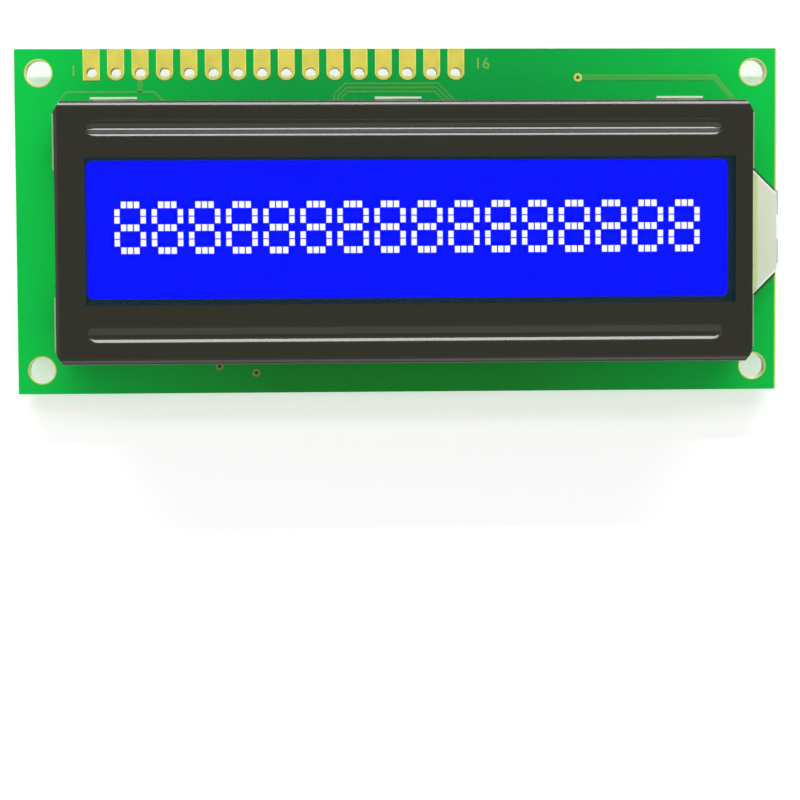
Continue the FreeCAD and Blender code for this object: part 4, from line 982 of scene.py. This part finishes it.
def make_joints():
    """Solder over the flat leads: height falls from the board edge to the toe, with two raised
    wings at b near -1 and 1, a wrinkled hollow between them and a round bump beyond the toe."""
    rows, columns, highest = 40, 56, 0.645
    middle, half_length, half_width, bump_middle = -38.3, 1.62, 1.56, -36.72
    b = np.linspace(-1, 1, rows)[:, None]
    a = np.linspace(-1, 1, columns)[None, :]
    heap = Heap()
    for centre, phase in ((1.77, 0.0), (-3.37, 1.7)):
        waist = 0.16 * np.cos(math.pi * b / 2) ** 2
        u = middle + half_length * a * (1 - waist * (a > 0)) - 0.05 * (a < 0) * waist
        v = centre + half_width * b * (1 - 0.10 * np.cos(math.pi * a / 2) ** 2)
        slope = 0.16 + 0.40 * ((1 - a) / 2) ** 1.3
        wings = 0.15 * np.exp(-((np.abs(b) - 0.72) / 0.22) ** 2)
        hollow = -0.12 * np.exp(-(b / 0.35) ** 2)
        waves = np.sin(5 * a + 4 * b + phase) * np.cos(7 * b - 2 * a + phase)
        wrinkle = 0.035 * waves * np.exp(-(b / 0.6) ** 2)
        edge = np.clip((1 - np.abs(b)) / 0.12, 0, 1) * np.clip((1 - a) / 0.1, 0, 1)
        round_edge = np.sqrt(1 - (1 - edge) ** 2)
        height = np.clip((slope + wings + hollow + wrinkle) * round_edge, 0.0, highest)
        heap.add(np.stack([u + 0 * b, v + 0 * a, height + PAD_RAISE], -1), grid_faces(rows, columns))
        share = np.linspace(0, math.pi / 2, 10)[:, None]
        turn = np.linspace(0, 2 * math.pi, 28, endpoint=False)[None, :]
        bump_u = bump_middle + 0.52 * np.sin(share) * np.cos(turn)
        bump_v = centre + (-0.05 if phase else 0.12) + 0.5 * np.sin(share) * np.sin(turn)
        bump = np.stack([bump_u, bump_v, np.broadcast_to(0.04 + 0.34 * np.cos(share), bump_u.shape)], -1)
        heap.add(bump, grid_faces(10, 28, close_columns=True))
    add_shapes("lead_joints", heap, JOINT, "solder", smooth=70, replaces=["backlight_solder"])


# Folded bezel

FOLD_OVER = np.array([0, 0.1, 0.16, 0.38, 0.44, 0.5, 0.554, 0.589, 0.6])
FOLD_DOWN = np.array([0, 0.015, 0.046, 0.159, 0.192, 0.265, 0.36, 0.48, 0.6])
WALL_LEAN = 0.1
SOUTH_OUT = 0.26
BEAD_END, BEAD_INSET, BEAD_HALF = 32.4, 2.9, 0.95
OPENING_LOW, OPENING_HIGH = -6.65, 6.25
RELIEF_X, RELIEF_Y = 0.9, 1.3
HOUSING_Y = -1.37


def bead_depth(x, y):
    """Two pressed grooves along X. Across each, the depth runs through a few stops from its upper
    to its lower side; at the ends both depth and width shrink as the square root of
    1 - (past / BEAD_HALF) squared."""
    past = np.maximum(0.0, np.abs(x) - BEAD_END + 0.9)
    narrow = np.sqrt(np.maximum(0.0, 1 - (past / BEAD_HALF) ** 2))
    upper = ((-0.98, 0), (-0.88, 0.035), (-0.6, 0.05), (-0.52, 0.075), (-0.2, 0.31), (-0.1, 0.336),
             (-0.06, 0.315), (0.06, 0.2523), (0.1, 0.2314), (0.14, 0.2226), (0.4, 0.1654), (0.44, 0.1566),
             (0.48, 0.1357), (0.7, 0.0209), (0.74, 0))
    lower = ((-0.7, 0), (-0.62, 0.03), (0.07, 0.143), (0.13, 0.155), (0.46, 0.24), (0.53, 0.2435), (0.94, 0))
    depth = np.zeros(np.broadcast(x, y).shape)
    for end, stops in ((1, upper), (-1, lower)):
        across = (BEZEL_WIDTH / 2 - BEAD_INSET) * end - y
        depth += np.interp(across / np.maximum(narrow, 1e-3), *zip(*stops), left=0.0, right=0.0) * narrow
    return depth


def spread(*stops):
    """Values from stop to stop; each stop after the first is (value, number of steps)."""
    values = [stops[0]]
    for value, steps in stops[1:]:
        values.extend(np.linspace(values[-1], value, steps + 1)[1:])
    return np.array(values)


def bezel_lines():
    """Rows across the face with the folds at both long sides, and columns along its flat middle,
    in mm from the middle of the face. Both are closer together in the grooves."""
    half_x, half_y = BEZEL_LENGTH / 2, BEZEL_WIDTH / 2
    bead = half_y - BEAD_INSET
    to_low, to_high = WINDOW_LOW - BEZEL_Y, WINDOW_HIGH - BEZEL_Y
    rows = spread(-half_y + FOLD, (-bead - BEAD_HALF, 3), (-bead + BEAD_HALF, 38), (to_low, 4),
                  (OPENING_LOW, 1), (OPENING_HIGH, 6), (to_high, 1), (bead - BEAD_HALF, 4),
                  (bead + BEAD_HALF, 38), (half_y - RELIEF_Y, 1), (half_y - FOLD, 1))
    rows = np.sort(np.append(rows, -half_y + RELIEF_Y))
    low_arc = -(half_y - FOLD) - FOLD_OVER[1:]
    rows = np.concatenate([low_arc[::-1], rows, -low_arc])
    bits = BEAD_END - np.array([1.8, 1.5, 1.25, 1.0, 0.8, 0.6, 0.45, 0.3, 0.15, 0.0, -0.06])
    tabs = [TAB_PITCH * side + TAB_WIDTH / 2 * part - BEZEL_X for side in (-1, 0, 1) for part in (-1, 0, 1)]
    marks = [*tabs, *bits, *-bits, *np.linspace(-24, 24, 9), WINDOW_LEFT - BEZEL_X, WINDOW_RIGHT - BEZEL_X,
             -half_x + 1.05, half_x - 1.05]
    columns = np.unique(np.round(marks, 4))
    columns = columns[np.concatenate([[True], np.diff(columns) > 0.02])]
    edge = half_x - RELIEF_X
    return rows, np.concatenate([[-edge], columns, [edge]])


def make_bezel():
    """One sheet, laid out as a grid of its outer skin and then thickened inwards.

    Rows run across the face and down the long walls, columns run along the face and down the
    short walls, which lean out a little. Near an edge the face height falls along the fold's
    own line, which has a narrow flat part, and by the depth of the two grooves. The lower fold
    stands out by SOUTH_OUT times its height above the board.
    """
    half_x, half_y = BEZEL_LENGTH / 2, BEZEL_WIDTH / 2
    rows, columns = bezel_lines()
    shares = np.array([1 / 3, 0.5, 0.65, 0.78, 0.88, 0.96, 1.0])
    wall_height = BEZEL_FACE - FOLD - BOARD_THICK
    depth_below = np.array([0.2, 1.6, 3.2, 4.8, 6.4, wall_height])
    wall, folds = len(depth_below), len(shares)
    face_columns = len(columns) + 2 * folds
    total_rows, total_columns = len(rows) + 2 * wall, face_columns + 2 * wall
    edge = half_x - RELIEF_X

    row_y = np.pad(rows, wall, constant_values=(-half_y, half_y))
    row_drop = np.concatenate([depth_below[::-1], np.zeros(len(rows)), depth_below])
    flat_x = np.pad(columns, folds, constant_values=(-edge, edge))
    reach = np.pad(np.clip((half_y - np.abs(rows)) / RELIEF_Y, 0, 1), wall) * RELIEF_X
    share = np.concatenate([-shares[::-1], np.zeros(len(columns)), shares])
    face_x = flat_x[None, :] + share[None, :] * reach[:, None]
    face_y = np.broadcast_to(row_y[:, None], face_x.shape)
    past_x = np.clip(np.abs(face_x) - (half_x - FOLD), 0, FOLD)
    past_y = np.clip(np.abs(face_y) - (half_y - FOLD), 0, FOLD)
    fall = np.interp(np.hypot(past_x, past_y), FOLD_OVER, FOLD_DOWN)
    face_z = BEZEL_FACE - fall - bead_depth(face_x, face_y) - row_drop[:, None]

    points = np.zeros((total_rows, total_columns, 3))
    points[:, wall:wall + face_columns] = np.stack([face_x, face_y, face_z], -1)
    for side, block in ((-1, slice(0, wall)), (1, slice(wall + face_columns, total_columns))):
        drop = depth_below[::side]
        points[:, block, 0] = (half_x + WALL_LEAN * drop / wall_height) * side
        points[:, block, 1] = row_y[:, None]
        points[:, block, 2] = BEZEL_FACE - FOLD - drop[None, :]
    height = np.clip((points[..., 2] - BOARD_THICK) / wall_height, 0, 1)
    past_bead = -points[..., 1] - (half_y - BEAD_INSET) - BEAD_HALF
    points[..., 1] -= SOUTH_OUT * height * np.clip(past_bead / RELIEF_Y, 0, 1)
    points[..., 1] += BEZEL_Y

    mid_y = (row_y[1:] + row_y[:-1]) / 2
    row, column = np.arange(total_rows - 1), np.arange(total_columns - 1)
    in_rows = (row >= wall) & (row < wall + len(rows) - 1)
    in_flat = (column >= wall + folds) & (column < wall + folds + len(columns) - 1)
    in_face = (column >= wall) & (column < wall + face_columns - 1)
    trim = wall + folds - 4
    beyond_trim = (column < trim) | (column >= total_columns - 1 - trim)
    middle = len(rows) // 2 + wall
    mid_x = (points[middle, 1:, 0] + points[middle, :-1, 0]) / 2 + BEZEL_X
    window_rows = (mid_y + BEZEL_Y > WINDOW_LOW) & (mid_y + BEZEL_Y < WINDOW_HIGH) & in_rows
    cut = np.zeros((total_rows - 1, total_columns - 1), bool)
    for cut_rows, cut_columns in (
            (~in_rows, ~in_flat), (np.abs(mid_y) > half_y - RELIEF_Y, ~in_face),
            ((mid_y > OPENING_LOW) & (mid_y < OPENING_HIGH), beyond_trim),
            (window_rows, (mid_x > WINDOW_LEFT) & (mid_x < WINDOW_RIGHT))):
        cut |= np.outer(cut_rows, cut_columns)
    faces = grid_faces(total_rows, total_columns).reshape(*cut.shape, 4)[~cut]
    return Heap([(points + (BEZEL_X, 0.0, 0.0), faces)])


def make_tabs():
    """Tabs of the sheet, twisted behind the board. A section is a bar of the sheet's thickness from
    the tab's middle to one side; going down it turns about Z by twist * t and moves by lean * t
    towards the board centre, where t goes from 0 to 1. The half that swings inwards is parted
    from the wall, so only its lower end is there, fully turned."""
    depth = np.linspace(0, 1, 12)
    turned = np.append([0.0, 0.0], np.interp(depth, (0.0, 0.3, 0.65, 1.0), (0.0, 0.45, 0.9, 1.0)))
    z = np.append([BOARD_THICK, 0.3], -(TAB_REACH - 0.05) * depth)
    strong, weak, parted_row = 34.0, 28.0, 7
    tabs = ((-1, 1, weak), (0, 1, weak), (1, 1, -strong), (-1, -1, -weak), (0, -1, weak), (1, -1, strong))
    shapes = []
    for side, end, twist in tabs:
        outward = 1 if twist * end > 0 else -1
        for half, first in ((outward, 0), (-outward, parted_row)):
            turn, level = turned[first:, None], z[first:, None]
            if first:
                turn = np.ones_like(turn)
            low, high = sorted((0.0, half * TAB_WIDTH / 2))
            across = np.array([low, (low + high) / 2, high, high, (low + high) / 2, low])
            out = np.array([-1, -1, -1, 1, 1, 1]) * (SHEET / 2 - 0.01)
            angle = np.radians(twist) * turn
            x = TAB_PITCH * side + across * np.cos(angle) - out * np.sin(angle)
            y = BEZEL_Y + ((BEZEL_WIDTH - SHEET) / 2 - TAB_LEAN * turn) * end + across * np.sin(angle) \
                + out * np.cos(angle)
            points = np.stack([x, y, np.broadcast_to(level, x.shape)], -1)
            faces = tube_faces(len(points), 6, bottom=True, top=True)
            shapes.append((points, [face[::-1] for face in faces]))
    add_shapes("bezel_tabs", shapes, PAINT, "bezel_black", np.asarray, smooth=32)


def finish_bezel():
    """The folded sheet; the outermost part of its short folds is pale green-grey."""
    mesh = settle("folded_bezel", make_bezel().mesh("bezel_skin", np.asarray), WELD,
                  ("SOLIDIFY", {"thickness": SHEET * MM, "offset": -1.0, "use_even_offset": True}))
    middles = np.array([face.center[:] for face in mesh.polygons]) / MM
    out = np.abs(middles[:, 0] - BEZEL_X) - BEZEL_LENGTH / 2
    pale_edge = (out > -0.2) & (middles[:, 2] > BEZEL_FACE - 1.0)
    mesh.polygons.foreach_set("material_index", pale_edge.astype(np.int32))
    add_piece("folded_bezel", mesh, [PAINT, PALE_FOLD], "bezel_black", smooth=32, replaces=["front_bezel"])


# Lamp housing

def make_housing():
    """Four plates on each other: a frame round the lamp board, a cover whose end narrows at 45
    degrees, a frame round the lamps and its lid under the bezel."""
    wide, narrow, start, knee, tip = 6.6, 4.05, 34.2, 37.3, 39.85
    cover = [(start, -wide), (knee, -wide), (tip, -narrow), (tip, narrow), (knee, wide), (start, wide)]
    cover = np.array(cover) + (0.0, HOUSING_Y)
    lamp_room = rectangle_line(34.5, -4.95, 39.5, 3.15)
    high_room = rectangle_line(34.5, -4.8, 35.6, 2.1)
    lid = rectangle_line(start, HOUSING_Y - 6.35, 36.7, HOUSING_Y + 6.35)
    heap = Heap()
    foot, shelf, shoulder, ceiling, top = BOARD_THICK, 2.3, 2.95, 4.2, 4.9
    for lines, low, high, round_by in (
            ([cover, lamp_room], foot, shelf, 0.0), ([cover, high_room], shelf, shoulder, 0.17),
            ([lid, high_room], shoulder, ceiling, 0.0), ([lid], ceiling, top, 0.15)):
        plate = plate_mesh("housing_plate", lines, low, high)
        if round_by:
            plate = settle("housing_plate", plate, WELD,
                           ("BEVEL", {"width": round_by * MM, "segments": 3, "limit_method": "ANGLE"}))
        heap.take(plate)
    add_shapes("lamp_case", heap, CASE_WHITE, "white_moulding", np.asarray, smooth=40,
               replaces=["lamp_housing"])
    strip = rectangle_line(36.8, HOUSING_Y - 6.1, 37.74, HOUSING_Y + 6.1)
    step = plate_mesh("case_step", [strip], shoulder, shoulder + 0.15)
    add_piece("case_step", step, [CASE_STRIP], "white_moulding")
    shadow_lines, shines = Heap(), Heap()
    for end in (1, -1):
        # Painted shadow: a dark line on the board along the outside of each slanted side of the cover.
        gap = np.array([(37.3, HOUSING_Y + 7.02 * end), (39.92, HOUSING_Y + 4.4 * end)])
        shadow_lines.add(*ribbon(gap[::end], 0.15, MARK_RAISE, PRINT_SLOPE))
        # Painted highlight: a white band along each slanted top edge of the cover.
        edge = np.array([(37.22, 6.32), (37.34, 6.44), (39.7, 4.08), (39.7, 3.84)]) * (1, end)
        edge = (edge + (0, HOUSING_Y))[::end]
        shines.take(plate_mesh("case_shine", [edge], shoulder - 0.05, shoulder + 0.02))
    add_shapes("case_shadow_lines", shadow_lines, DARK_FILL, "board", lift_to_front)
    add_shapes("case_highlights", shines, CASE_HIGHLIGHT, "white_moulding", np.asarray)


# Display cell

def make_film():
    """The front film, a hair above the glass so that light passes one face at a time."""
    line = rounded_line(-34.6, -10.27, 34.6, 7.93, 0.3)
    film = loft([line, line], (8.77, 8.95), bottom=True, top=True)
    add_shapes("front_film", [film], FRONT_FILM, "film", np.asarray, replaces=["front_polariser"])


def make_display():
    """The unlit border, the lit field on it, and a row of sixteen figures built of dots."""
    border = flat_face("unlit_cell", rectangle_line(-34.6, -10.6, 34.95, 8.3), CELL_Z - 0.02)
    add_piece("unlit_cell", border, [CELL_DARK], "film")
    field = flat_face("lit_field", rounded_line(-32.1, -8.02, 33.73, 6.1, 0.65), CELL_Z)
    add_piece("lit_field", field, [LIT_BLUE], "film")
    eight = ("01110", "10001", "10001", "01110", "10001", "10001", "01110")
    shape = np.array([(c, r) for r, line in enumerate(eight) for c, on in enumerate(line) if on == "1"])
    first_x, high_y, figures = -29.3, 1.94, 16
    step_x, step_y, figure_pitch = 0.665, 0.778, 3.793
    dot = np.array([(0.01, -0.67), (0.55, -0.67), (0.55, 0), (0.01, 0)])
    starts = (np.arange(figures) * figure_pitch)[:, None] * (1, 0)
    corner = starts[:, None, :] + shape[None, :, :] * (step_x, -step_y)
    flat = (corner[:, :, None, :] + dot + (first_x, high_y)).reshape(-1, 2)
    dots = [(at_height(flat, CELL_Z + 0.01), np.arange(len(flat)).reshape(-1, 4))]
    add_shapes("lit_figures", dots, LIT_WHITE, "film", np.asarray)


# Epoxy drop and label

def make_drop():
    """A dome on rings: height h * (1 - p ** 2.4) ** 0.6 at share p of the radius, with the outline
    and the top a little uneven by low sines."""
    rings, steps = 30, 96
    share = np.sin(np.linspace(0, math.pi / 2, rings))[:, None]
    turn = np.linspace(0, 2 * math.pi, steps, endpoint=False)[None, :]
    wander = 1 - 0.004 * (1 + np.sin(3 * turn + 0.6))
    for middle, breadth, depth in ((2.75, 0.42, 0.05), (-0.75, 0.5, 0.022)):
        away = np.angle(np.exp(1j * (turn - middle)))
        wander = wander - depth * np.exp(-(away / breadth) ** 2)
    height = BLOB_HEIGHT * 0.985 * (1 - share ** 2.4) ** 0.6 * (1 - 0.02 * (1 + np.sin(2 * turn + 1)) * share)
    radius = BLOB_RADIUS * share * wander
    u = BLOB_X + radius * np.cos(turn)
    v = BLOB_Y + radius * np.sin(turn)
    points = np.stack([u, v, np.broadcast_to(height, u.shape)], -1)
    drop = (points, tube_faces(rings, steps))
    add_shapes("epoxy_drop", [drop], EPOXY, "epoxy_black", smooth=60, replaces=["cob_globe_top"])
    outline = ring(BLOB_X, BLOB_Y, 6.6, 7.2, MARK_RAISE, steps)
    add_shapes("drop_outline_print", [outline], CREAM_PRINT, "paper")


def make_label():
    """A rounded rectangle of paper, turned on the board, with a slight crown along its edges."""
    half_length, half_width, middle, turn = 10.0, 5.0, (-17.2, 1.5), math.radians(-5.6)
    crown = ((0.0, 0.0), (0.0, 0.07), (0.05, 0.095), (0.25, 0.1))
    line = rounded_line(-half_length, -half_width, half_length, half_width, 0.6, 8)
    lines = [line * (1 - inset / half_length, 1 - inset / half_width) for inset, _ in crown]
    points, faces = loft(lines, [height for _, height in crown], top=True)
    spin = np.array([[math.cos(turn), math.sin(turn)], [-math.sin(turn), math.cos(turn)]])
    points[:, :2] = points[:, :2] @ spin + middle
    add_shapes("paper_label", [(points, faces)], PAPER, "paper", smooth=50, replaces=["rear_label"])


# Finishes of the nodes that stay

def paint_nodes():
    finishes = {
        "bezel_ground_pads": BARE_COPPER, "chip_pads": BARE_COPPER,
        "backlight_pads": SOLDER, "chip_solder": SOLDER,
        "backlight_leads": LEAD, "backlight_lamps": LAMP, "lamp_board": LAMP_BOARD,
        "backlight_guide": GUIDE, "backlight_diffuser": WHITE_SHEET,
        "backlight_reflector": WHITE_SHEET, "lcd_front_glass": CELL_GLASS,
        "lcd_edge_seal": CELL_DARK, "lcd_rear_glass": REAR_GLASS, "rear_polariser": GREY_FILM,
        "zebra_strip_top": RUBBER, "zebra_strip_bottom": RUBBER, "controller_die": DIE,
    }
    for name, node in nodes.items():
        finish = finishes.get(name)
        if finish is None and name.endswith("_body"):
            finish = CHIP
        if finish is None and name.endswith("_end_caps"):
            finish = SOLDER
        if finish is not None:
            node.data.materials.clear()
            node.data.materials.append(finish)


# Floor, light and camera

def seen_directly(tree):
    """1 for what the camera sees, on its own, in gloss or through glass."""
    path = add_node(tree, "LightPath").outputs
    either = calc(tree, "MAXIMUM", path["Is Camera Ray"], path["Is Glossy Ray"])
    return calc(tree, "MAXIMUM", either, path["Is Transmission Ray"])


def make_floor():
    """A wide pale floor that shows nothing from beneath, so the back of the module can be seen.

    Its glow grows with the distance, where the lamps no longer reach.
    """
    size = 3000.0
    finish = Finish("pale_floor", (0.93, 0.93, 0.93, 1.0), roughness=0.9, specular=0.0)
    tree, pale = finish.tree, finish.shader.outputs[0]
    away = finish.node("VectorMath", [(0, object_spot(tree))], operation="LENGTH").outputs["Value"]
    lift = finish.ramp(away, 0.35, 1.1, 0.28, 0.8)
    glow = finish.node("Emission", [("Color", (1, 1, 1, 1)), ("Strength", lift)])
    total = finish.node("AddShader", [(0, pale), (1, glow.outputs[0])])
    seen = finish.node("MixShader", [(0, seen_directly(tree)), (1, pale), (2, total.outputs[0])])
    beneath = finish.node("NewGeometry").outputs["Backfacing"]
    clear = finish.node("BsdfTransparent")
    sided = finish.node("MixShader", [(0, beneath), (1, seen.outputs[0]), (2, clear.outputs[0])])
    tree.links.new(sided.outputs[0], tree.nodes["Material Output"].inputs["Surface"])
    mesh = flat_face("floor", rectangle_line(-size, -size, size, size), -TAB_REACH - 0.01)
    mesh.materials.append(finish.material)
    floor = new_object("floor", mesh)
    floor.visible_shadow = False


def add_lamp(name, place, length, width, watts):
    """A flat lamp at a place in metres, facing the origin."""
    lamp = bpy.data.lights.new(name, "AREA")
    lamp.shape = "RECTANGLE"
    lamp.size, lamp.size_y = length, width
    lamp.energy = watts
    holder = new_object(name, lamp)
    back = np.array(place) / np.linalg.norm(place)
    side = np.cross((0.0, 0.0, 1.0), back)
    side /= np.linalg.norm(side)
    up = np.cross(back, side)
    holder.matrix_world = Matrix(np.vstack([np.column_stack([side, up, back, place]), (0, 0, 0, 1)]).tolist())
    holder.visible_camera = False


def make_light():
    soft_strength, seen_strength = 0.36, 1.0
    world = bpy.data.worlds.new("studio")
    world.use_nodes = True
    bpy.context.scene.world = world
    tree = world.node_tree
    tree.nodes.clear()
    soft, white = (add_node(tree, "Background", [("Color", (1, 1, 1, 1)), ("Strength", strength)]).outputs[0]
                   for strength in (soft_strength, seen_strength))
    either = add_node(tree, "MixShader", [(0, seen_directly(tree)), (1, soft), (2, white)])
    output = add_node(tree, "OutputWorld")
    tree.links.new(either.outputs[0], output.inputs["Surface"])
    for name, place, length, width, watts in (
            ("north_strip", (0.0, 0.42, 0.26), 0.7, 0.028, 2.1),
            ("south_strip", (0.0, -0.42, 0.24), 0.7, 0.12, 0.7),
            ("north_panel", (0.0, 0.245, 0.44), 0.7, 0.06, 0.55),
            ("south_panel", (0.0, -0.17, 0.45), 0.7, 0.08, 0.22),
            ("west_box", (-0.45, 0.10, 0.36), 0.3, 0.3, 0.3),
            ("under_box", (0.16, 0.30, -0.42), 0.3, 0.3, 2.4)):
        add_lamp(name, place, length, width, watts)


def make_camera():
    """Turns by small angles about X, then Y, then Z, and a shift, in the photograph's view."""
    turns, shift = ((0.441, "Z"), (2.412, "Y"), (3.232, "X")), (-0.00021, 0.01895, -0.24257)
    camera = bpy.data.cameras.new("camera")
    camera.lens, camera.sensor_width = 103.02, 36.0
    camera.clip_start, camera.clip_end = 0.01, 20.0
    holder = new_object("camera", camera)
    view = Matrix.Translation(shift)
    for degrees, axis in turns:
        view = view @ Matrix.Rotation(math.radians(degrees), 4, axis)
    holder.matrix_world = view.inverted()
    bpy.context.scene.camera = holder


make_camera()
make_light()
make_floor()
make_board()
make_pads()
make_vias()
make_tracks()
make_print()
make_chip_figures()
make_marks()
make_joints()
finish_bezel()
make_tabs()
make_housing()
make_film()
make_display()
make_drop()
make_label()
paint_nodes()
bpy.context.scene.view_settings.view_transform = "Standard"
